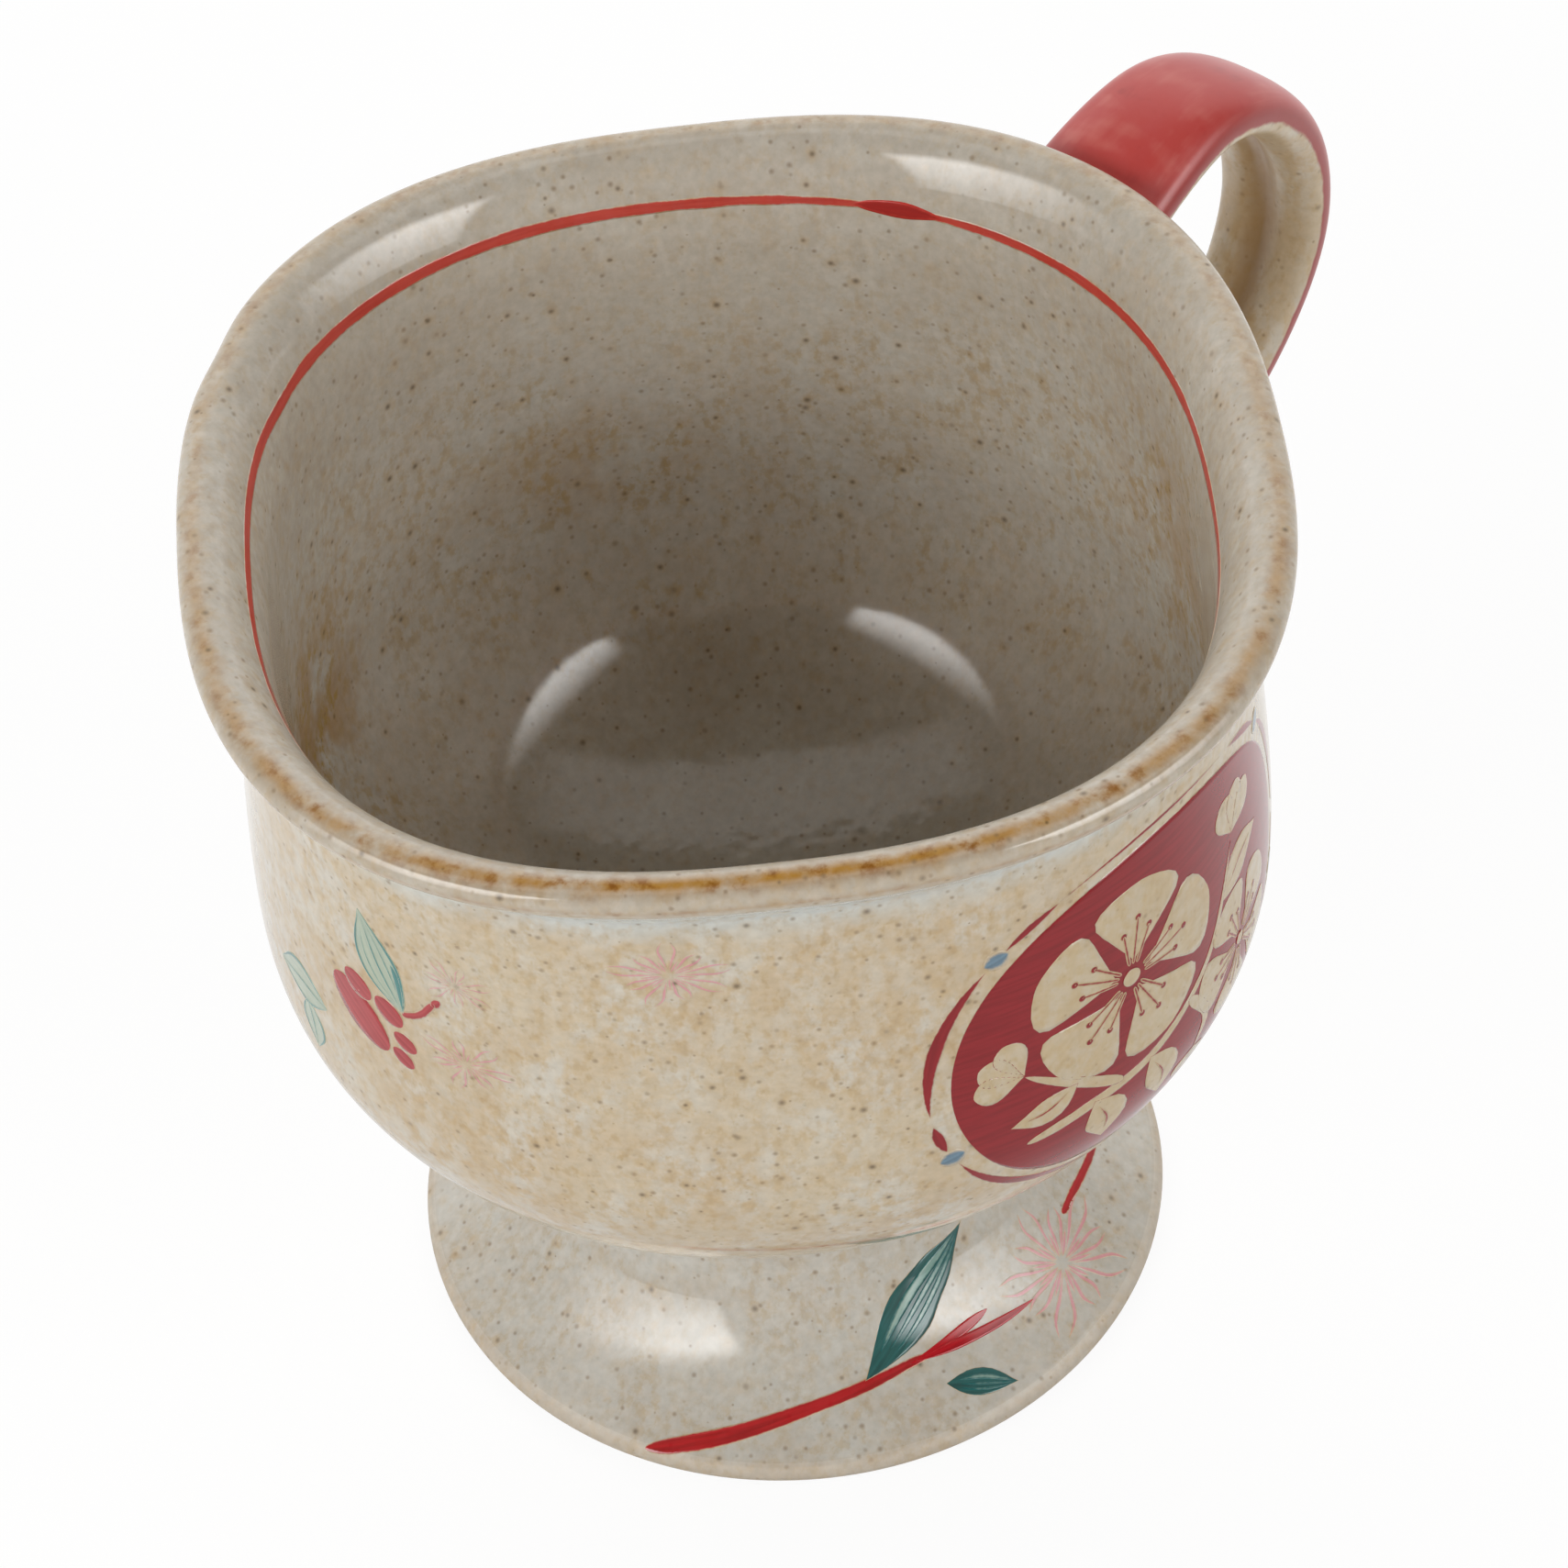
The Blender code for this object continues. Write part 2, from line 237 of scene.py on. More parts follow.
@dataclass(frozen=True)
class MugForm:
    """Shape of the thrown mug, in millimetres."""

    foot_width: float = 68.6
    foot_height: float = 20.0
    foot_edge: float = 1.2
    foot_ring: float = 4.5
    foot_lift: float = 4.9
    foot_draw: float = 1.5
    rim_round: float = 0.5
    sweep_run: float = 8.0
    sweep_rise: float = 4.5
    stem_drop: float = 11.5
    stem_lift: float = 1.2  # how much less the outer side drops than the bore
    neck_width: float = 41.0
    neck_wall: float = 5.0
    base: float = 21.4
    bowl_height: float = 70.4
    belly_width: float = 86.6
    belly_rise: float = 32.6
    belly_fullness: float = 14.0
    belly_wall: float = 4.0
    underside_run: float = 8.5
    underside_rise: float = 6.5
    floor_thickness: float = 6.0
    floor_spread: float = 22.0
    side_reach: float = 10.0
    mouth_width: float = 89.2
    mouth_squareness: float = 2.5
    throat_width: float = 83.0
    throat_depth: float = 6.5
    throat_wall: float = 3.2
    lip_edge_depth: float = 1.3
    lip_edge_round: float = 1.8
    lip_roll_depth: float = 9.5
    lip_pull: float = 0.6  # how round the lip's edge is, from 0 for a bevel to 1 for nearly a corner
    flare_share: float = 0.32  # how far the flare keeps upright at its ends, as a share of its height
    roll_lean: float = 0.3  # how far the roll leans out above the throat
    lip_fullness: float = 0.32  # how far down the rolled lip keeps its width, as a share of its depth
    front_turn: float = -133.0  # where the hand-trimmed lip stands a little higher
    front_rise: float = 0.4
    front_spread: float = 55.0
    unevenness: float = 0.12  # how far the thrown wall strays from its true outline
    true_middle: float = 10.0  # distance from the axis within which it strays less
    stray_waves: float = 1.6
    stray_height: float = 40.0
    dent_turn: float = 107.0  # where the potter's hand squared the lip a little harder
    dent_depth: float = 0.35
    dent_spread: float = 5.0

    @property
    def rim(self) -> float:
        """Height of the lip's crest."""
        return self.base + self.bowl_height

    def spread(self, turn: float, height: float) -> float:
        """Distance from the axis for a flat half width of 1: round at the neck, squared at the lip."""
        share = min(max((height - self.base) / self.bowl_height, 0.0), 1.0)
        power = 2.0 + (self.mouth_squareness - 2.0) * share
        angle = math.radians(turn) - math.pi / 4
        return (abs(math.cos(angle)) ** power + abs(math.sin(angle)) ** power) ** (-1.0 / power)

    def radius(self, out: float, turn: float, height: float) -> float:
        """Distance from the axis to the squared, slightly uneven bowl wall.

        Args:
            out: Half width across the flats there.
            turn: Turn in degrees.
            height: Height above the table.

        Returns:
            The distance in millimetres.
        """
        angle = math.radians(turn)
        share = step(height, self.base + self.underside_rise, self.base + self.belly_rise)
        waves = self.stray_waves
        place = Vector((waves * math.cos(angle), waves * math.sin(angle), height / self.stray_height))
        stray = self.unevenness * noise.noise(place) * share
        lip = step(height, self.rim - self.lip_roll_depth, self.rim)
        dent = self.dent_depth * lip * bell(turn_apart(turn, self.dent_turn), self.dent_spread)
        return out * self.spread(turn, height) + (stray - dent) * min(out / self.true_middle, 1.0)

    def trim(self, turn: float, height: float) -> float:
        """How much higher the hand-trimmed lip stands at a turn."""
        near = step(height, self.rim - self.throat_depth, self.rim)
        return self.front_rise * near * bell(turn_apart(turn, self.front_turn), self.front_spread)

    def foot_outside(self) -> list[Pair]:
        """Outer side of the foot, from its lower edge round the rim and up the hollow sweep to the neck."""
        rim = self.foot_width / 2
        neck = self.neck_width / 2
        edge_out, edge_up = rim - self.rim_round, self.foot_edge + 2 * self.rim_round
        sweep = (edge_out - self.sweep_run, edge_up + self.sweep_rise)
        round_up = (rim, self.foot_edge + self.rim_round)
        round_over = (edge_out + self.rim_round / 2, edge_up - self.rim_round / 3)
        edge = curve((rim, self.foot_edge), round_up, round_over, (edge_out, edge_up), 10)
        stem = (neck, self.foot_height - self.stem_drop + self.stem_lift)
        return chain(edge, curve((edge_out, edge_up), sweep, stem, (neck, self.foot_height), 40))

    def foot_profile(self) -> list[Pair]:
        """Closed outline of the hollow foot."""
        rim = self.foot_width / 2
        ring_outer = rim - self.foot_edge
        ring_inner = ring_outer - self.foot_ring
        bore = self.neck_width / 2 - self.neck_wall
        stem = self.foot_height - self.stem_drop
        pull = self.foot_edge / 2
        edge = curve((ring_outer, 0.0), (rim - pull, 0.0), (rim, pull), (rim, self.foot_edge), 10)
        hollow = (ring_inner - self.foot_draw, self.foot_lift)
        inside = curve((bore, self.foot_height), (bore, stem), hollow, (ring_inner, 0.0), 30)
        ring = [(ring_inner + share * self.foot_ring, 0.0) for share in (0.25, 0.5, 0.75)]
        return chain(edge, self.foot_outside()) + inside + ring

    def bowl_outside(self) -> list[Pair]:
        """Outer side of the bowl, from the neck up to the outer edge of the lip."""
        neck = self.neck_width / 2
        belly = self.belly_width / 2
        throat = self.throat_width / 2
        edge = self.mouth_width / 2
        belly_up = self.base + self.belly_rise
        throat_up = self.rim - self.throat_depth
        edge_up = self.rim - self.lip_edge_depth
        flare_reach = (edge_up - throat_up) * self.flare_share
        under_end = (neck + self.underside_run, self.base + self.underside_rise)
        full = (belly, belly_up - self.belly_fullness)
        under = curve((neck, self.base), under_end, full, (belly, belly_up), 36)
        side_low = (belly, belly_up + self.side_reach)
        side_high = (throat, throat_up - self.side_reach)
        side = curve((belly, belly_up), side_low, side_high, (throat, throat_up), 28)
        flare_low = (throat, throat_up + flare_reach)
        flare_high = (edge, edge_up - flare_reach)
        flare = curve((throat, throat_up), flare_low, flare_high, (edge, edge_up), 14)
        return chain(under, side, flare)

    def lip_over(self) -> list[Pair]:
        """The lip from its outer edge over to its crest."""
        edge = self.mouth_width / 2
        edge_up = self.rim - self.lip_edge_depth
        crest = edge - self.lip_edge_round
        leave = (edge, edge_up + self.lip_edge_depth * self.lip_pull)
        arrive = (crest + self.lip_edge_round * self.lip_pull, self.rim)
        return curve((edge, edge_up), leave, arrive, (crest, self.rim), 12)

    def bowl_inside(self) -> list[Pair]:
        """Inner side of the bowl, from the crest of the lip down to the middle of the floor."""
        belly = self.belly_width / 2 - self.belly_wall
        throat = self.throat_width / 2 - self.throat_wall
        crest = self.mouth_width / 2 - self.lip_edge_round
        belly_up = self.base + self.belly_rise
        roll_up = self.rim - self.lip_roll_depth
        floor_up = self.base + self.floor_thickness
        roll_leave = (crest - self.lip_edge_round, self.rim)
        roll_arrive = (throat + self.roll_lean, self.rim - self.lip_roll_depth * self.lip_fullness)
        roll = curve((crest, self.rim), roll_leave, roll_arrive, (throat, roll_up), 24)
        side_high = (throat, roll_up - self.side_reach)
        side_low = (belly, belly_up + self.side_reach)
        side = curve((throat, roll_up), side_high, side_low, (belly, belly_up), 22)
        full = (belly, belly_up - self.belly_fullness)
        floor = curve((belly, belly_up), full, (self.floor_spread, floor_up), (0.0, floor_up), 36)
        return chain(roll, side, floor)

    def wall_out(self, height: float) -> float:
        """Half width across the flats of the bowl's outer wall at a height."""
        side = self.bowl_outside()
        for (low_out, low_up), (high_out, high_up) in zip(side, side[1:]):
            if low_up <= height <= high_up:
                return low_out + (high_out - low_out) * (height - low_up) / (high_up - low_up)
        return side[-1][0]


@dataclass
class Seat:
    """Where the mug's axis stands in the frame, in metres, and how its pieces are put there."""

    axis: float

    def settle(self, shell: Shell, name: str, materials: Sequence[Material]) -> Piece:
        """Makes an object of a mesh that was built in millimetres about the axis.

        Args:
            shell: The finished mesh, which is freed.
            name: The piece's name.
            materials: Its materials, in the order of its faces' numbers.

        Returns:
            The object, at the frame's origin, riding on the mug.
        """
        bmesh.ops.scale(shell, vec=(MM, MM, MM), verts=shell.verts)
        bmesh.ops.translate(shell, vec=(self.axis, 0.0, 0.0), verts=shell.verts)
        mesh = bpy.data.meshes.new(name)
        shell.to_mesh(mesh)
        shell.free()
        mesh.shade_smooth()
        mesh.set_sharp_from_angle(angle=math.radians(SHARP_FOLD))
        for material in materials:
            mesh.materials.append(material)
        piece = bpy.data.objects.new(name, mesh)
        bpy.context.scene.collection.objects.link(piece)
        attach(piece, "root")
        LOG.info("%s: %d faces", name, len(mesh.polygons))
        return piece


def turned(profile: Sequence[Pair], steps: int, closed: bool) -> Shell:
    """Shell turned about the axis from an outline.

    Args:
        profile: The outline, as out and up.
        steps: Steps of the full turn.
        closed: Whether the outline's ends meet each other rather than the axis.

    Returns:
        The shell, merged and facing outwards.
    """
    shell = bmesh.new()
    points = [shell.verts.new((out, 0.0, up)) for out, up in profile]
    for first, second in zip(points, points[1:]):
        shell.edges.new((first, second))
    if closed:
        shell.edges.new((points[-1], points[0]))
    bmesh.ops.spin(
        shell,
        geom=shell.verts[:] + shell.edges[:],
        cent=(0.0, 0.0, 0.0),
        axis=(0.0, 0.0, 1.0),
        angle=2 * math.pi,
        steps=steps,
        use_merge=True,
    )
    bmesh.ops.remove_doubles(shell, verts=shell.verts, dist=MM)
    bmesh.ops.recalc_face_normals(shell, faces=shell.faces)
    return shell


def lay_brush(faces: Iterable[bmesh.types.BMFace], layer: bmesh.types.BMLayerItem, marks: Marks) -> None:
    """Gives each corner of some faces its place under the brush.

    Args:
        faces: The faces.
        layer: Their UV layer.
        marks: Each vertex's place along and across the stroke, in millimetres.
    """
    for face in faces:
        for loop in face.loops:
            loop[layer].uv = marks[loop.vert]


@dataclass(frozen=True)
class Cloud:
    """Soft patches of noise, with their size in millimetres, that show above low and are full at high."""

    size: float
    low: float
    high: float
    detail: float


@dataclass(frozen=True)
class Specks:
    """Round specks, at most one to a cell, with radii in millimetres and the share of cells that have one."""

    cell: float
    least: float
    most: float
    shown: float


@dataclass(frozen=True)
class SpeckledGlaze:
    """Iron-speckled stoneware glaze.

    A milky transparent glaze over a buff body: warm cream with pale clouds and ochre freckles a millimetre
    or two wide, pepper specks of iron, a glossy and slightly rippled skin, and rust where it runs thin on
    the lip.
    """

    cream: str = "#c6b69c"
    buff: str = "#bea787"
    milk: str = "#cbc6bb"
    ochre: str = "#b3935f"
    ash: str = "#b4ada2"
    pool: str = "#c6c9c5"
    rust: str = "#a97a2e"
    burn: str = "#84521f"
    speck: str = "#7a6346"
    pepper: str = "#493a2c"
    toast: str = "#a3762f"
    freckle: str = "#a58545"
    bare: str = "#b79d7c"
    buff_clouds: Cloud = Cloud(14.0, 0.36, 0.66, 2.0)
    buff_share: float = 0.6
    milk_spots: Cloud = Cloud(1.7, 0.37, 0.62, 3.0)
    milk_patches: Cloud = Cloud(6.8, 0.3, 0.65, 2.0)
    milk_share: float = 0.82
    milk_lost: float = 0.5  # how much of that share full ash takes away
    pool_clouds: Cloud = Cloud(8.5, 0.1, 0.5, 2.0)
    fine_freckles: Cloud = Cloud(1.1, 0.46, 0.7, 2.0)
    broad_freckles: Cloud = Cloud(2.64, 0.55, 0.75, 3.0)
    freckle_share: float = 0.36
    freckle_lost: float = 0.22  # how much of that share full ash takes away
    tiny_freckles: Cloud = Cloud(0.77, 0.57, 0.76, 2.0)
    tiny_share: float = 0.75
    scorches: Cloud = Cloud(5.5, 0.3, 0.6, 3.0)
    scorch_share: float = 0.85
    clusters: Cloud = Cloud(6.6, 0.32, 0.6, 2.0)
    cluster_freckles: Cloud = Cloud(1.1, 0.44, 0.66, 3.0)
    rust_clouds: Cloud = Cloud(3.3, 0.18, 0.58, 4.0)
    burn_clouds: Cloud = Cloud(1.65, 0.48, 0.7, 4.0)
    halos: Specks = Specks(2.4, 0.6, 1.3, 0.85)
    halo_share: float = 0.3
    fine_specks: Specks = Specks(1.1, 0.15, 0.4, 0.6)
    fine_share: float = 0.6
    pepper_specks: Specks = Specks(2.4, 0.24, 0.52, 0.85)
    pepper_share: float = 0.65
    cloud_roughness: float = 0.6
    run: float = 0.7  # scale of the noise up the wall, which draws its patches out
    shift: tuple[float, float, float] = (0.3, 0.1, 0.2)  # metres between two readings of one noise
    grain_size: float = 0.8
    grain_detail: float = 3.0
    grain_from: Pair = (0.3, 0.7)
    grain_shade: Pair = (0.93, 1.06)
    ripple_size: float = 1.7
    ripple_gain: float = 0.4
    floor_gain: float = 4.6  # how much more the floor ripples
    swell_size: float = 6.0
    swell_gain: float = 1.2
    ripple_depth: float = 0.014
    roughness: float = 0.08
    bare_roughness: float = 0.6
    bare_full: float = 0.3  # share of bare clay that already looks matt
    ior: float = 1.5

    def colour_group(self) -> Tree:
        """Node group that gives the glaze's colour and the height of its ripples anywhere on the mug.

        Returns:
            The group, which reads Object coordinates and the bowl's own attributes.
        """
        tree = bpy.data.node_groups.new("speckled_glaze_colour", "ShaderNodeTree")
        tree.interface.new_socket("Colour", in_out="OUTPUT", socket_type="NodeSocketColor")
        tree.interface.new_socket("Height", in_out="OUTPUT", socket_type="NodeSocketFloat")
        where = add(tree, "ShaderNodeTexCoord", {}).outputs["Object"]
        stretch = (1.0, 1.0, self.run)
        runny = add(tree, "ShaderNodeMapping", {"Vector": where, "Scale": stretch}).outputs["Vector"]
        shifted = add(tree, "ShaderNodeMapping", {"Vector": runny, "Location": self.shift}).outputs["Vector"]

        def times(first: Value, second: Value) -> Socket:
            """Product of two values."""
            return maths(tree, "MULTIPLY", first, second)

        def cloud(patches: Cloud, vector: Socket) -> Socket:
            """Soft patches, read at a vector."""
            noisy = {"Scale": per(patches.size), "Detail": patches.detail, "Roughness": self.cloud_roughness}
            made = add(tree, "ShaderNodeTexNoise", {"Vector": vector, **noisy})
            return ranged(tree, made.outputs["Fac"], (patches.low, patches.high), UNIT)

        def specks(dots: Specks) -> Socket:
            """Round specks."""
            cells = {"Vector": where, "Scale": per(dots.cell), "Randomness": 1.0}
            made = add(tree, "ShaderNodeTexVoronoi", cells)
            parts = add(tree, "ShaderNodeSeparateColor", {"Color": made.outputs["Color"]})
            radii = (dots.least / dots.cell, dots.most / dots.cell)
            reach = ranged(tree, parts.outputs["Green"], UNIT, radii, False)
            dot = ranged(tree, made.outputs["Distance"], (0.0, reach), (1.0, 0.0))
            return times(dot, maths(tree, "LESS_THAN", parts.outputs["Red"], dots.shown))

        ash, toast, pool, rust = (mark(tree, name) for name in ("ash", "toast", "pool", "rust"))
        milky = maths(tree, "MULTIPLY_ADD", ash, -self.milk_lost, self.milk_share)
        plain = maths(tree, "MULTIPLY_ADD", ash, -self.freckle_lost, self.freckle_share)
        milk = times(cloud(self.milk_patches, shifted), milky)
        scorched = times(toast, times(toast, self.scorch_share))
        clustered = times(toast, cloud(self.clusters, shifted))
        layers = (
            (self.buff, times(cloud(self.buff_clouds, where), self.buff_share)),
            (self.ash, ash),
            (self.milk, times(cloud(self.milk_spots, runny), milk)),
            (self.pool, times(pool, cloud(self.pool_clouds, where))),
            (self.ochre, times(cloud(self.fine_freckles, shifted), plain)),
            (self.ochre, times(cloud(self.broad_freckles, where), plain)),
            (self.freckle, times(cloud(self.tiny_freckles, runny), times(plain, self.tiny_share))),
            (self.toast, times(scorched, cloud(self.scorches, runny))),
            (self.freckle, times(clustered, cloud(self.cluster_freckles, runny))),
            (self.rust, times(rust, cloud(self.rust_clouds, where))),
            (self.burn, times(rust, cloud(self.burn_clouds, where))),
            (self.ochre, times(specks(self.halos), self.halo_share)),
            (self.speck, times(specks(self.fine_specks), self.fine_share)),
            (self.pepper, times(specks(self.pepper_specks), self.pepper_share)),
            (self.bare, mark(tree, "bare")),
        )
        colour = linear(self.cream)
        for tint, share in layers:
            colour = blend(tree, share, colour, linear(tint))
        grain = mottle(tree, where, per(self.grain_size), self.grain_detail)
        shade = ranged(tree, grain, self.grain_from, self.grain_shade, False)
        grainy = add(tree, "ShaderNodeHueSaturation", {"Color": colour, "Value": shade})
        gain = maths(tree, "MULTIPLY_ADD", mark(tree, "floor"), self.floor_gain, self.ripple_gain)
        ripple = times(mottle(tree, where, per(self.ripple_size), 1.0), gain)
        swell = times(mottle(tree, where, per(self.swell_size), 0.0), self.swell_gain)
        height = maths(tree, "ADD", ripple, swell)
        add(tree, "NodeGroupOutput", {"Colour": grainy.outputs["Color"], "Height": height})
        return tree

    def material(self, name: str, group: Tree) -> tuple[Material, Node, Node]:
        """A new material with the glaze all over.

        Args:
            name: The material's name.
            group: The glaze's colour group.

        Returns:
            The material, its glaze node and its shader node.
        """
        made, tree = empty_material(name)
        glaze = add(tree, "ShaderNodeGroup", {}, node_tree=group)
        ripples = {"Height": glaze.outputs["Height"], "Strength": 1.0, "Distance": self.ripple_depth * MM}
        bump = add(tree, "ShaderNodeBump", ripples)
        matt = (self.roughness, self.bare_roughness)
        look = {
            "Base Color": glaze.outputs["Colour"],
            "Roughness": ranged(tree, mark(tree, "bare"), (0.0, self.bare_full), matt, False),
            "IOR": self.ior,
            "Normal": bump.outputs["Normal"],
        }
        shader = add(tree, "ShaderNodeBsdfPrincipled", look)
        add(tree, "ShaderNodeOutputMaterial", {"Surface": shader.outputs["BSDF"]})
        return made, glaze, shader


@dataclass(frozen=True)
class BrushPaint:
    """One colour of brushed ceramic paint under the clear glaze.

    Covers the speckled ground unevenly: streaky along the stroke, a little darker where the brush paused,
    with a soft edge some tenths of a millimetre wide.
    """

    colour: str
    deep: str
    cover: float
    edge: float = 0.16
    clear: float = 0.0  # how much of the glaze shows through the whole stroke
    streak_length: float = 6.0
    streak_width: float = 0.45
    streak_detail: float = 3.0
    tone_from: Pair = (0.35, 0.7)
    ragged_scale: float = 1.6
    edge_from: Pair = (-0.4, 0.6)  # shares of the edge's width between which the paint fades in

    def material(self, name: str, base: SpeckledGlaze, group: Tree) -> Material:
        """The paint as a material that lets the ground show at its edges and thin places.

        Args:
            name: The material's name.
            base: The glaze that it is fired with.
            group: The glaze's colour group.

        Returns:
            The material, which reads the stroke's UV map and its edge attribute, both in millimetres.
        """
        made, glaze, shader = base.material(name, group)
        tree = made.node_tree
        brush, streak = brush_streaks(tree, self.streak_length, self.streak_width, self.streak_detail)
        tone = ranged(tree, streak, self.tone_from, UNIT)
        paint = blend(tree, tone, linear(self.colour), linear(self.deep))
        body = blend(tree, self.clear, paint, glaze.outputs["Colour"])
        ragged = mottle(tree, brush, self.ragged_scale, self.streak_detail)
        nibble = maths(tree, "MULTIPLY_ADD", ragged, -self.edge, mark(tree, "edge"))
        start, full = (share * self.edge for share in self.edge_from)
        mask = ranged(tree, nibble, (start, full), (0.0, self.cover))
        below = add(tree, "ShaderNodeAttribute", {}, attribute_name="below")
        ground = blend(tree, below.outputs["Alpha"], glaze.outputs["Colour"], below.outputs["Color"])
        tree.links.new(blend(tree, mask, ground, body), shader.inputs["Base Color"])
        return made


class Paint(Enum):
    """The painter's colours."""

    RED = BrushPaint("#8e141c", "#800e15", 0.995)
    STRIPE = BrushPaint("#c03a30", "#b32e26", 0.95)
    STRIPE_DEEP = BrushPaint("#9c1f1d", "#8f1a1b", 0.85, 0.3)
    BRANCH = BrushPaint("#b01a22", "#92161c", 0.97)
    BERRY = BrushPaint("#b03a40", "#97252e", 0.96)
    PINK = BrushPaint("#d4829a", "#cb7089", 0.62, 0.1)
    TEAL = BrushPaint("#3b7f7e", "#2b6a6b", 0.9, 0.08)
    DEEP_TEAL = BrushPaint("#1f5c5b", "#154747", 0.96, 0.08)
    LEAF = BrushPaint("#a7b6a4", "#95ab9d", 0.82, 0.1)
    FOOT_LEAF = BrushPaint("#9fb3a7", "#7f9f95", 0.85, 0.3)
    BLUE = BrushPaint("#557f9a", "#3f6a85", 0.85, 0.5)
    RESERVE = BrushPaint("#c2ac86", "#bda77f", 1.0, 0.08, 0.5)


class Taper(Enum):
    """How a stroke's half width runs from its start to its end."""

    EVEN = "even"
    BOTH = "both"
    HEAD = "head"
    LEAF = "leaf"
    PETAL = "petal"
    OVAL = "oval"

    def share(self, along: float) -> float:
        """Half width as a share of the fullest, at a share of the stroke's length."""
        inside = max(along * (1.0 - along), 0.0)
        if self is Taper.EVEN:
            return max(1.0 - (2.0 * along - 1.0) ** 12, 0.0) ** 0.5
        if self is Taper.BOTH:
            return math.sin(math.pi * along) ** 0.7
        if self is Taper.HEAD:
            return max(1.0 - (1.0 - along) ** 10, 0.0) ** 0.5 * (1.0 - 0.62 * along) * (1.0 - along ** 14)
        if self is Taper.LEAF:
            return math.sin(math.pi * along ** 0.9) ** 1.15
        if self is Taper.PETAL:
            return math.sin(math.pi * along ** 1.9) ** 0.62 if along < 1.0 else 0.0
        return 2.0 * inside ** 0.5


@dataclass(frozen=True)
class Spot:
    """A place on a wall: its turn in degrees and its height in millimetres."""

    turn: float
    height: float


@dataclass
class Wall:
    """A turned wall that can be painted on, given by its outline from the bottom up."""

    form: MugForm
    outline: list[Pair]
    squared: bool
    facing: float  # 1 where the painted side looks away from the axis, -1 where it looks in
    runs: list[float] = field(default_factory=list)

    def __post_init__(self) -> None:
        """Measures the outline."""
        self.runs = [0.0]
        for (out, up), (next_out, next_up) in zip(self.outline, self.outline[1:]):
            self.runs.append(self.runs[-1] + math.hypot(next_out - out, next_up - up))

    def span(self, run: float) -> tuple[int, float]:
        """The outline's stretch that holds a run, and the share of the way along it."""
        for index in range(len(self.runs) - 1):
            if run <= self.runs[index + 1] or index == len(self.runs) - 2:
                length = self.runs[index + 1] - self.runs[index]
                return index, (run - self.runs[index]) / length
        return 0, 0.0

    def run_at(self, height: float) -> float:
        """How far along the outline a height lies."""
        for index, ((_, low), (_, high)) in enumerate(zip(self.outline, self.outline[1:])):
            if low <= height <= high:
                share = (height - low) / (high - low)
                return self.runs[index] + share * (self.runs[index + 1] - self.runs[index])
        return self.runs[-1]

    def reach(self, turn: float, run: float) -> tuple[float, float]:
        """Distance from the axis, and height, at a turn and a run."""
        index, share = self.span(run)
        out = self.outline[index][0] + share * (self.outline[index + 1][0] - self.outline[index][0])
        up = self.outline[index][1] + share * (self.outline[index + 1][1] - self.outline[index][1])
        return (self.form.radius(out, turn, up) if self.squared else out), up

    def place(self, spot: Spot, across: float, rise: float, lift: float) -> Vector:
        """Point on the wall near a spot.

        Args:
            spot: The middle of what is painted.
            across: How far to the right of it, for someone who faces the wall.
            rise: How far above it along the wall.
            lift: How far off the wall.

        Returns:
            The point in millimetres about the axis.
        """
        run = self.run_at(spot.height) + rise
        middle, _ = self.reach(spot.turn, self.run_at(spot.height))
        turn = spot.turn + self.facing * math.degrees(across / middle)
        radius, up = self.reach(turn, run)
        index, _ = self.span(run)
        (out, low), (next_out, high) = self.outline[index], self.outline[index + 1]
        length = math.hypot(next_out - out, high - low)
        away = self.facing * (high - low) / length * lift
        angle = math.radians(turn)
        height = up - self.facing * (next_out - out) / length * lift
        return Vector(((radius + away) * math.cos(angle), (radius + away) * math.sin(angle), height))


def smooth_line(points: Sequence[Pair], share: float) -> tuple[Vector, Vector]:
    """Place and direction along a smooth line through a few points.

    Args:
        points: The points, in millimetres across and up.
        share: Share of the way along, counted in equal parts between points.

    Returns:
        The place and the unit direction, both flat.
    """
    count = len(points) - 1
    at = min(int(share * count), count - 1)
    part = share * count - at
    flat = [Vector(point) for point in points]
    start, end = flat[at], flat[at + 1]
    before = flat[at - 1] if at > 0 else start * 2 - end
    after = flat[at + 2] if at + 2 <= count else end * 2 - start
    leave = (end - before) / 2
    arrive = (after - start) / 2
    square, cube = part * part, part ** 3
    place = (
        start * (2 * cube - 3 * square + 1)
        + leave * (cube - 2 * square + part)
        + end * (3 * square - 2 * cube)
        + arrive * (cube - square)
    )
    course = (
        start * (6 * square - 6 * part)
        + leave * (3 * square - 4 * part + 1)
        + end * (6 * part - 6 * square)
        + arrive * (3 * square - 2 * part)
    )
    return place, course.normalized()


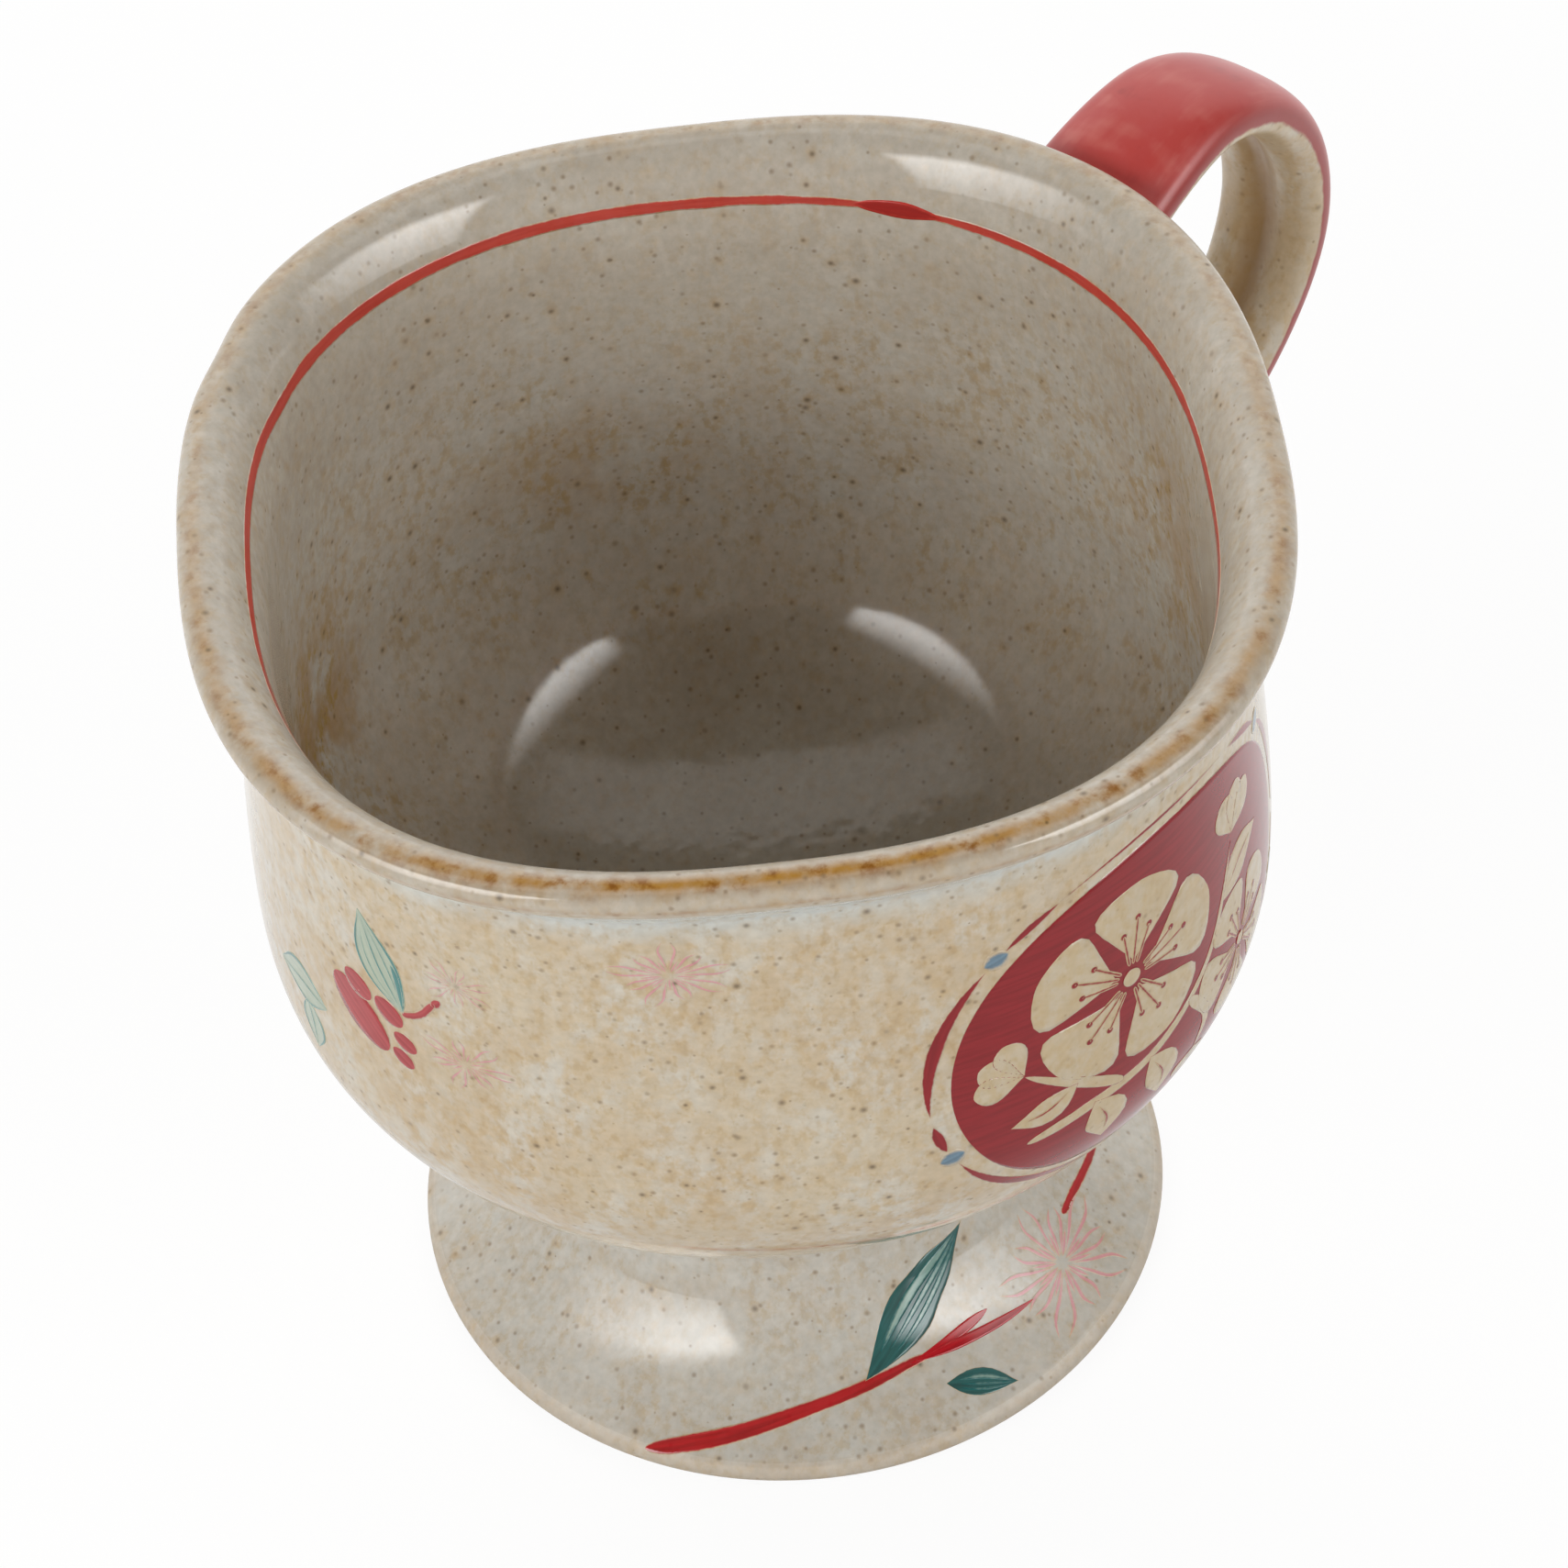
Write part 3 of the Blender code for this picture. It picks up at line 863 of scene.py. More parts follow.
@dataclass
class Painting:
    """One painted motif: brush strokes laid on a wall as thin closed ribbons of paint."""

    name: str
    wall: Wall
    spot: Spot
    layer: float = 0.02  # how far each coat of paint stands off the one below
    film: float = 0.2  # thickness of the ribbons, most of it sunk in the glaze
    stray: float = 0.1  # how far a hand-drawn width strays, as a share of it
    stray_scale: float = 0.35
    cell: float = 0.7  # length of a cell along a stroke
    least_cells: int = 14
    long_stroke: int = 200  # cells from which a stroke's cells are all alike, not finer at its ends
    paints: list[Paint] = field(default_factory=list)

    def __post_init__(self) -> None:
        """Starts the mesh."""
        self.shell = bmesh.new()
        self.brush = self.shell.loops.layers.uv.new("brush")
        self.edge = self.shell.verts.layers.float.new("edge")
        self.below = self.shell.verts.layers.float_color.new("below")

    def stroke(
        self,
        points: Sequence[Pair],
        width: float,
        paint: Paint,
        taper: Taper = Taper.BOTH,
        coat: int = 1,
        grain: int = 6,
        below: Optional[Paint] = None,
    ) -> None:
        """Lays one stroke.

        Args:
            points: Its centre line, in millimetres across and up from the motif's spot.
            width: Its fullest width.
            paint: Its colour.
            taper: How its width runs.
            coat: Which coat of paint it is, counted from the glaze.
            grain: Cells across the ribbon.
            below: The paint that it lies on, if it isn't the bare glaze.
        """
        if paint not in self.paints:
            self.paints.append(paint)
        length = sum(math.dist(first, second) for first, second in zip(points, points[1:]))
        cells = max(self.least_cells, 4 * len(points), int(length / self.cell))
        grid = bmesh.ops.create_grid(self.shell, x_segments=cells, y_segments=grain, size=1.0)
        ground = (*linear(below.value.colour)[:3], 1.0) if below else (0.0, 0.0, 0.0, 0.0)
        marks = {}
        for vert in grid["verts"]:
            along = (vert.co.x + 1.0) / 2
            if cells < self.long_stroke:
                along = (1.0 - math.cos(math.pi * along)) / 2
            aside = vert.co.y
            place, course = smooth_line(points, along)
            wander = noise.noise(Vector((along * length * self.stray_scale, width, length)))
            half = width / 2 * taper.share(along) * (1.0 + self.stray * wander)
            flat = place + Vector((-course.y, course.x)) * half * aside
            vert.co = self.wall.place(self.spot, flat.x, flat.y, self.layer * coat)
            vert[self.edge] = half * (1.0 - abs(aside))
            vert[self.below] = ground
            marks[vert] = (along * length, half * aside)
        number = self.paints.index(paint)
        faces = {face for vert in grid["verts"] for face in vert.link_faces}
        for face in faces:
            face.material_index = number
        lay_brush(faces, self.brush, marks)

    def finish(self, seat: Seat, palette: dict[Paint, Material]) -> Piece:
        """Makes the piece.

        Args:
            seat: Where the mug stands.
            palette: The paints' materials.

        Returns:
            The piece, a film of paint with its own thickness.
        """
        piece = seat.settle(self.shell, self.name, [palette[paint] for paint in self.paints])
        solid = piece.modifiers.new("film", "SOLIDIFY")
        solid.thickness = self.film * MM
        solid.offset = -1.0
        return piece


@dataclass(frozen=True)
class Toast:
    """A patch of the inside that the fire browned."""

    turn: float
    height: float
    wide: float
    tall: float
    depth: float


@dataclass
class Bowl:
    """The squared bowl with its flared lip."""

    form: MugForm
    steps: int = 320
    toasts: tuple[Toast, ...] = (
        Toast(116.0, 55.0, 19.0, 15.0, 1.0),
        Toast(-32.0, 66.0, 26.0, 16.0, 0.8),
        Toast(62.0, 58.0, 30.0, 12.0, 0.6),
    )
    rust_turn: float = -138.0
    rust_spread: float = 66.0
    rust_least: float = 0.25  # share of the rust that the far side of the lip keeps
    edge_rust: float = 0.35  # rust under the lip's edge: its share, its depth below the edge and its reach
    edge_rust_depth: float = 0.4
    edge_rust_reach: float = 0.35
    crest_rust_out: float = 0.45  # rust on the lip: how far outside the crest it lies, and its reach
    crest_rust_reach: float = 0.75
    bead_start: float = 1.8  # depths below the rim between which the glaze pools outside
    bead_full: float = 3.6
    bead_fades: float = 5.5
    bead_end: float = 9.0
    bead_least: float = 0.6
    lip_ash: float = 0.65
    lip_ash_depth: float = 3.0
    # the inside is made greyer and a little darker than the outside, most on the floor
    inner_grey: float = 0.78
    floor_grey: float = 0.85
    floor_grey_rise: Pair = (8.0, 22.0)  # heights above the base between which the floor's extra grey ends
    lip_fade: float = 14.0  # height over which the inside changes below the rolled lip
    inner_toast: float = 0.38
    inner_toast_rise: Pair = (10.0, 24.0)
    inner_pool: float = 0.32
    inner_pool_rise: Pair = (16.0, 34.0)
    floor_pool: float = 0.3
    floor_pool_rise: Pair = (8.0, 20.0)
    floor_rise: Pair = (10.1, 12.6)

    def build(self, seat: Seat, glaze: Material) -> Piece:
        """Turns the bowl, squares it and marks where the glaze changes.

        Args:
            seat: Where the mug stands.
            glaze: Its glaze.

        Returns:
            The piece that stands for the bowl.
        """
        form = self.form
        outside, over, inside = form.bowl_outside(), form.lip_over(), form.bowl_inside()
        profile = [(0.0, form.base), (form.neck_width / 4, form.base)] + chain(outside, over, inside)
        shell = turned(profile, self.steps, False)
        names = ("ash", "toast", "pool", "rust", "bare", "floor")
        layers = {name: shell.verts.layers.float.new(name) for name in names}
        for vert in shell.verts:
            out = math.hypot(vert.co.x, vert.co.y)
            turn = math.degrees(math.atan2(vert.co.y, vert.co.x))
            within = self.is_within(out, vert.co.z)
            for name, value in self.marks(out, vert.co.z, turn, within).items():
                vert[layers[name]] = value
            if out > 0.0:
                factor = form.radius(out, turn, vert.co.z) / out
                vert.co.x *= factor
                vert.co.y *= factor
                vert.co.z += form.trim(turn, vert.co.z)
        bmesh.ops.recalc_face_normals(shell, faces=shell.faces)
        piece = seat.settle(shell, "speckled_bowl", [glaze])
        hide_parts("bowl")
        return piece

    def is_within(self, out: float, height: float) -> bool:
        """Whether a point of the outline belongs to the inside of the bowl."""
        form = self.form
        if height >= form.rim - form.lip_edge_depth:
            return out <= form.mouth_width / 2 - form.lip_edge_round
        return out < form.wall_out(height) - form.throat_wall / 2 and height > form.base

    def marks(self, out: float, height: float, turn: float, within: bool) -> dict[str, float]:
        """How the glaze changes at one point of the bowl.

        Args:
            out: Half width across the flats there.
            height: Height above the table.
            turn: Turn in degrees.
            within: Whether the point is on the inside.

        Returns:
            Shares of ash grey, toasted brown, pooled white, rust and bare clay, and of rippled floor.
        """
        form = self.form
        if within:
            shares = self.inner_marks(height, turn)
        else:
            shares = {"ash": 0.0, "toast": 0.0, "pool": 0.0, "floor": 0.0}
        depth = form.rim - height
        crest = form.mouth_width / 2 - form.lip_edge_round
        near = bell(turn_apart(turn, self.rust_turn), self.rust_spread)
        front = self.rust_least + (1.0 - self.rust_least) * near
        on_lip = step(height, form.rim - form.lip_roll_depth, form.rim - self.lip_ash_depth)
        shares["ash"] = max(shares["ash"], on_lip * self.lip_ash)
        rust = 0.0
        if not within:
            bead = step(depth, self.bead_start, self.bead_full)
            bead *= step(self.bead_end - depth, 0.0, self.bead_end - self.bead_fades)
            shares["pool"] = bead * (self.bead_least + (1.0 - self.bead_least) * front)
            below_edge = depth - form.lip_edge_depth - self.edge_rust_depth
            rust = self.edge_rust * front * bell(below_edge, self.edge_rust_reach)
        if depth < form.lip_edge_depth:
            rust = max(rust, front * bell(out - crest - self.crest_rust_out, self.crest_rust_reach))
        return {**shares, "rust": rust, "bare": 0.0}

    def inner_marks(self, height: float, turn: float) -> dict[str, float]:
        """How the glaze changes at one point of the inside, apart from the lip.

        Args:
            height: Height above the table.
            turn: Turn in degrees.

        Returns:
            Shares of ash grey, toasted brown, pooled white and rippled floor.
        """
        form = self.form
        rise = height - form.base

        def above(ends: Pair) -> float:
            """Rises from 0 to 1 between two heights above the base."""
            return step(rise, *ends)

        below_lip = step(form.rim - form.lip_roll_depth - height, 0.0, self.lip_fade)
        toast = self.inner_toast * below_lip * above(self.inner_toast_rise)
        for patch in self.toasts:
            spread = bell(turn_apart(turn, patch.turn), patch.wide) * bell(height - patch.height, patch.tall)
            toast = max(toast, patch.depth * spread)
        return {
            "ash": max(self.inner_grey, self.floor_grey * (1.0 - above(self.floor_grey_rise))),
            "toast": toast,
            "pool": max(
                self.inner_pool * above(self.inner_pool_rise) * below_lip,
                self.floor_pool * (1.0 - above(self.floor_pool_rise)),
            ),
            "floor": 1.0 - above(self.floor_rise),
        }


@dataclass
class PedestalFoot:
    """The hollow flared foot and the smoothed joint under the bowl."""

    form: MugForm
    steps: int = 192
    joint_reach: float = 4.6  # how far the smoothed joint runs out along stem and underside
    joint_sink: float = 2.0
    joint_lift: float = 0.6  # how far its hollow stays from the level of the bowl's base
    joint_spread: float = 0.9
    ash: float = 0.95
    joint_ash: float = 0.8
    toast: float = 0.28
    pool: float = 0.4
    wiped: Pair = (1.4, 0.8)  # roundings inside the rim between which the glaze was wiped thin
    wiped_share: float = 0.3
    bare_height: float = 0.05

    def build(self, seat: Seat, glaze: Material) -> list[Piece]:
        """Turns the foot and the joint.

        Args:
            seat: Where the mug stands.
            glaze: Their glaze.

        Returns:
            The pieces that stand for the foot and its slip joint.
        """
        form = self.form
        shell = turned(form.foot_profile(), self.steps, True)
        layers = {name: shell.verts.layers.float.new(name) for name in ("ash", "bare", "toast", "pool")}
        start, full = (form.foot_width / 2 - form.rim_round * share for share in self.wiped)
        for vert in shell.verts:
            vert[layers["ash"]] = self.ash
            vert[layers["toast"]] = self.toast
            vert[layers["pool"]] = self.pool
            wiped = step(math.hypot(vert.co.x, vert.co.y), start, full)
            vert[layers["bare"]] = 1.0 if vert.co.z < self.bare_height else self.wiped_share * wiped
        foot = seat.settle(shell, "flared_foot", [glaze])
        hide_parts("pedestal_foot")
        shell = turned(self.joint_profile(), self.steps, True)
        ash = shell.verts.layers.float.new("ash")
        for vert in shell.verts:
            vert[ash] = self.joint_ash
        joint = seat.settle(shell, "smoothed_neck_joint", [glaze])
        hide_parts("foot_slip_joint")
        return [foot, joint]

    def joint_profile(self) -> list[Pair]:
        """Closed outline of the slip that a wet finger has smoothed into the corner between stem and bowl."""
        form = self.form
        neck = form.neck_width / 2
        side = form.bowl_outside()
        runs = Wall(form, side, False, 1.0)
        index, _ = runs.span(self.joint_reach)
        high = side[index + 1]
        low = (neck, form.foot_height - self.joint_reach)
        leave = (neck, form.base - self.joint_lift)
        arrive = (neck + self.joint_spread, form.base + self.joint_lift)
        sunk_high = (high[0] - self.joint_sink, high[1] + self.joint_sink)
        sunk_low = (neck - self.joint_sink, form.foot_height - self.joint_reach)
        hollow = curve(low, leave, arrive, high, 16)
        return hollow + [sunk_high, (neck - self.joint_sink, form.base), sunk_low]


@dataclass
class StrapHandle:
    """The pulled strap handle, with the smoothed joints where it meets the bowl."""

    form: MugForm
    top_depth: float = 6.8
    crest_out: float = 10.6
    crest_depth: float = 3.0
    bow_out: float = 27.3
    bow_depth: float = 22.6
    low_depth: float = 47.2
    shoulder: float = 8.0
    bow_length: float = 11.0
    top_run: float = 4.4
    top_rise: float = 2.1
    low_run: float = 19.5
    low_rise: float = 3.7
    top_width: float = 14.2
    low_width: float = 9.2
    thickness: float = 5.2
    section: float = 2.6
    groove_width: float = 5.5
    groove_depth: float = 0.9
    root_sink: float = 5.0
    root_depth: float = 1.0  # how deep the trimmed root lies under the wall
    stations: int = 120
    sides: int = 64
    joint_reach: float = 2.6
    joint_rows: int = 12
    joint_skin: float = 0.08  # how far the joint's edge on the strap stands off it
    joint_tuck: float = 0.03  # how far its edge on the wall lies under the surface
    joint_fill: float = 0.08  # how far its hollow keeps out of the corner, as a share of its reach
    joint_bite: float = 0.7  # how far the hidden corner of a joint lies inside the strap
    joint_depth: float = 0.8  # how far that corner lies under the wall
    lip_gap: float = 0.2  # how far a joint stays below the lip's edge
    red_fade: float = 2.0  # how fast the red ends down the joint
    halvings: int = 30
    line: list[Vector] = field(default_factory=list)

    def __post_init__(self) -> None:
        """Works out the centre line, as out and up, from inside the wall at the lip to the belly."""
        form = self.form
        corner = form.mouth_width / 2 * form.spread(0.0, form.rim - form.lip_edge_depth)
        top_up = form.rim - self.top_depth
        low_up = form.rim - self.low_depth
        top = Vector((form.wall_out(top_up) * form.spread(0.0, top_up), top_up))
        low = Vector((form.wall_out(low_up) * form.spread(0.0, low_up), low_up))
        crest = Vector((corner + self.crest_out, form.rim - self.crest_depth))
        bow = Vector((corner + self.bow_out, form.rim - self.bow_depth))
        top_lean = Vector((self.top_run, self.top_rise))
        low_lean = Vector((self.low_run, self.low_rise))
        level = Vector((self.shoulder, 0.0))
        upright = Vector((0.0, self.bow_length))
        rise = curve(top, top + top_lean, crest - Vector((self.top_run, 0.0)), crest, 40)
        turn = curve(crest, crest + level, bow + upright, bow, 40)
        fall = curve(bow, bow - upright, low + low_lean, low, 40)
        sunk_top = top - top_lean.normalized() * self.root_sink
        sunk_low = low - low_lean.normalized() * self.root_sink
        self.line = [sunk_top, *(Vector(point) for point in chain(rise, turn, fall)), sunk_low]

    @property
    def length(self) -> float:
        """Length of the centre line."""
        return sum((after - before).length for before, after in zip(self.line, self.line[1:]))

    def surface(self, share: float, angle: float, swell: float = 0.0) -> tuple[Vector, Pair, float]:
        """Point of the strap's skin.

        Args:
            share: Share of the way along the strap.
            angle: Angle round its section, with 90 degrees on the outer face.
            swell: How much larger all round.

        Returns:
            The point, its place across the strap and outwards as shares, and the width there.
        """
        last = len(self.line) - 1
        at = min(int(share * last), last - 1)
        part = share * last - at
        place = self.line[at].lerp(self.line[at + 1], part)
        before = (self.line[at + 1] - self.line[max(at - 1, 0)]).normalized()
        after = (self.line[min(at + 2, last)] - self.line[at]).normalized()
        along = before.lerp(after, part).normalized()
        outward = Vector((-along.y, along.x))
        width = self.top_width + (self.low_width - self.top_width) * share
        fullness = 2 / self.section
        turn = math.radians(angle)
        aside = math.copysign(abs(math.cos(turn)) ** fullness, math.cos(turn))
        proud = math.copysign(abs(math.sin(turn)) ** fullness, math.sin(turn))
        across = aside * (width / 2 + swell)
        height = proud * (self.thickness / 2 + swell)
        if proud < 0.0 and abs(across) < self.groove_width / 2:
            height += self.groove_depth * math.cos(math.pi * across / self.groove_width) ** 2
        point = place + outward * height
        return Vector((point.x, across, point.y)), (aside, proud), width

    def build(self, seat: Seat, paint: Material) -> list[Piece]:
        """Sweeps the strap and makes its two joints.

        Args:
            seat: Where the mug stands.
            paint: The brushed red glaze with its cream inner face.

        Returns:
            The pieces that stand for the handle and its slip joints.
        """
        shell = bmesh.new()
        brush = shell.loops.layers.uv.new("brush")
        face_layer = shell.verts.layers.float.new("outer_face")
        groove_layer = shell.verts.layers.float.new("groove")
        grid = bmesh.ops.create_grid(shell, x_segments=self.stations, y_segments=self.sides, size=1.0)
        length = self.length
        girth = 2 * (self.top_width + self.thickness)
        marks = {}
        for vert in grid["verts"]:
            share = (vert.co.x + 1.0) / 2
            angle = 180.0 * vert.co.y + 90.0
            point, (aside, proud), width = self.surface(share, angle)
            marks[vert] = (share * length, vert.co.y * girth / 2)
            sunk = self.off_wall(point) < -self.root_depth
            vert.co = self.onto_wall(point, -self.root_depth) if sunk else point
            vert[face_layer] = proud
            vert[groove_layer] = bell(aside * width / 2, self.groove_width / 3) if proud < 0.0 else 0.0
        lay_brush(shell.faces, brush, marks)
        bmesh.ops.remove_doubles(shell, verts=shell.verts, dist=MM)
        ends = [edge for edge in shell.edges if edge.is_boundary]
        bmesh.ops.holes_fill(shell, edges=ends, sides=0)
        bmesh.ops.recalc_face_normals(shell, faces=shell.faces)
        strap = seat.settle(shell, "red_strap_handle", [paint])
        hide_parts("strap_handle")
        upper = self.joint(seat, paint, "smoothed_upper_handle_joint", 0.0, 0.25)
        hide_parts("upper_handle_slip_joint")
        lower = self.joint(seat, paint, "smoothed_lower_handle_joint", 1.0, 0.75)
        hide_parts("lower_handle_slip_joint")
        return [strap, upper, lower]

    def off_wall(self, point: Vector) -> float:
        """How far a point stands off the bowl's outer wall, along the radius."""
        form = self.form
        turn = math.degrees(math.atan2(point.y, point.x))
        height = min(max(point.z, form.base), form.rim - form.lip_edge_depth)
        return math.hypot(point.x, point.y) - form.radius(form.wall_out(height), turn, height)

    def onto_wall(self, point: Vector, lift: float) -> Vector:
        """The point of the bowl's outer wall at the same turn and height, lifted a little."""
        turn = math.atan2(point.y, point.x)
        reach = math.hypot(point.x, point.y) - self.off_wall(point) + lift
        return Vector((reach * math.cos(turn), reach * math.sin(turn), point.z))

    def joint(self, seat: Seat, paint: Material, name: str, root: float, far: float) -> Piece:
        """Slip smoothed into the corner between strap and wall, as a closed collar.

        Args:
            seat: Where the mug stands.
            paint: The handle's glaze.
            name: The piece's name.
            root: Share along the strap of the end that is sunk in the wall.
            far: Share along the strap that is surely clear of the wall.

        Returns:
            The collar.
        """
        shell = bmesh.new()
        brush = shell.loops.layers.uv.new("brush")
        face_layer = shell.verts.layers.float.new("outer_face")
        rows = self.joint_rows + 2
        grid = bmesh.ops.create_grid(shell, x_segments=self.sides, y_segments=rows, size=1.0)
        length = self.length
        reach = math.copysign(self.joint_reach / length, far - root)
        angles = [360.0 * side / self.sides for side in range(self.sides)]
        sections = [self.joint_corners(angle, root, far, reach) for angle in angles]
        marks = {}
        for vert in grid["verts"]:
            side = round((vert.co.x + 1.0) / 2 * self.sides) % self.sides
            row = round((vert.co.y + 1.0) / 2 * rows)
            (high, corner, wide, sunk), proud = sections[side]
            along = row / self.joint_rows if row <= self.joint_rows else 1.0
            place = high * (1 - along) ** 2 + corner * 2 * along * (1 - along) + wide * along ** 2
            if row == rows - 1:
                place = sunk
            elif row == rows:
                place = high
                along = 0.0
            marks[vert] = (vert.co.x * length / 4, along * self.joint_reach)
            vert.co = place
            vert[face_layer] = proud - self.red_fade * along
        lay_brush(shell.faces, brush, marks)
        bmesh.ops.remove_doubles(shell, verts=shell.verts, dist=MM)
        bmesh.ops.recalc_face_normals(shell, faces=shell.faces)
        return seat.settle(shell, name, [paint])

    def joint_corners(
        self, angle: float, root: float, far: float, reach: float
    ) -> tuple[list[Vector], float]:
        """The corners of a joint's section at one angle round the strap.

        Args:
            angle: Angle round the strap's section.
            root: Share along the strap inside the wall.
            far: Share along the strap clear of the wall.
            reach: How far the joint runs up the strap, as a share of its length.

        Returns:
            The joint's points on the strap, in the corner, on the wall and sunk in the wall, and how far the
            strap's skin faces outwards there.
        """
        near, clear = root, far
        for _ in range(self.halvings):
            middle = (near + clear) / 2
            if self.off_wall(self.surface(middle, angle)[0]) > 0.0:
                clear = middle
            else:
                near = middle
        corner, (_, proud), _ = self.surface(clear, angle)
        centre = (self.surface(clear, 90.0)[0] + self.surface(clear, 270.0)[0]) / 2
        high, _, _ = self.surface(clear + reach, angle, self.joint_skin)
        aside = corner - centre
        radial = Vector((corner.x, corner.y, 0.0)).normalized()
        aside = (aside - radial * aside.dot(radial)).normalized()
        wide = corner + aside * self.joint_reach
        wide.z = min(wide.z, self.form.rim - self.form.lip_edge_depth - self.lip_gap)
        wide = self.onto_wall(wide, -self.joint_tuck)
        sunk = self.onto_wall(corner - aside * self.joint_bite, -self.joint_depth)
        hollow = corner.lerp(wide, self.joint_fill).lerp(high, self.joint_fill)
        return [high, hollow, wide, sunk], proud


@dataclass(frozen=True)
class BrushedRed:
    """Red brushed glaze on the handle.

    Iron-red colour brushed along the strap in one coat: rosy where it is thin and deeper red towards its
    sides, with the cream ground left showing on the inner face, browned there a little and darkest down its
    groove as painted shade.
    """

    red: str = "#b23a38"
    deep: str = "#8f1719"
    rosy: str = "#bf5f58"
    # brown laid over the inner face and darkest down its groove, standing for painted shade
    groove_brown: str = "#916d3b"
    streak_length: float = 13.0
    streak_width: float = 1.5
    streak_detail: float = 4.0
    streak_share: float = 0.6
    cloud_scale: float = 0.16
    cloud_detail: float = 2.0
    thin_from: Pair = (0.78, 1.08)
    thin_share: float = 0.75
    thick_from: Pair = (0.72, 0.5)
    thick_share: float = 0.6
    side_from: Pair = (0.7, 0.15)  # how far the skin faces outwards where the red turns deeper, towards the strap's sides
    side_share: float = 0.9
    inner_painted_shade: float = 0.14  # how much of that brown the whole inner face has: a warm tint with painted shade from the bowl
    # how much more brown the groove has: painted shade in the hollow
    groove_painted_shade: float = 0.7
    edge_at: float = -0.14
    edge_soft: float = 0.16
    ragged: float = 0.3
    ragged_scale: float = 0.35
    ragged_detail: float = 3.0
    cover: float = 0.96
    roughness: float = 0.28

    def material(self, base: SpeckledGlaze, group: Tree) -> Material:
        """The handle's material.

        Args:
            base: The glaze that it is fired with.
            group: The glaze's colour group.

        Returns:
            The material, which reads the strap's UV map and attributes.
        """
        made, glaze, shader = base.material("brushed_iron_red_glaze", group)
        tree = made.node_tree
        tree.links.remove(shader.inputs["Roughness"].links[0])
        shader.inputs["Roughness"].default_value = self.roughness
        brush, streak = brush_streaks(tree, self.streak_length, self.streak_width, self.streak_detail)
        clouds = mottle(tree, brush, self.cloud_scale, self.cloud_detail)
        density = maths(tree, "MULTIPLY_ADD", streak, self.streak_share, clouds)
        thin = ranged(tree, density, self.thin_from, (0.0, self.thin_share))
        thick = ranged(tree, density, self.thick_from, (0.0, self.thick_share))
        face = mark(tree, "outer_face")
        # deeper red towards the strap's sides, where the skin faces outwards less
        toward_sides = ranged(tree, face, self.side_from, (0.0, self.side_share))
        rosy = blend(tree, thin, linear(self.red), linear(self.rosy))
        red = blend(tree, maths(tree, "MAXIMUM", thick, toward_sides), rosy, linear(self.deep))
        # painted shade: brown over the inner face, darkest down the groove
        shaded = maths(tree, "MULTIPLY_ADD", mark(tree, "groove"), self.groove_painted_shade, self.inner_painted_shade)
        inner = blend(tree, shaded, glaze.outputs["Colour"], linear(self.groove_brown))
        nibbled = mottle(tree, brush, self.ragged_scale, self.ragged_detail)
        border = maths(tree, "MULTIPLY_ADD", nibbled, -self.ragged, face)
        middle = self.edge_at - self.ragged / 2
        ends = (middle - self.edge_soft / 2, middle + self.edge_soft / 2)
        mask = ranged(tree, border, ends, (0.0, self.cover))
        tree.links.new(blend(tree, mask, inner, red), shader.inputs["Base Color"])
        return made


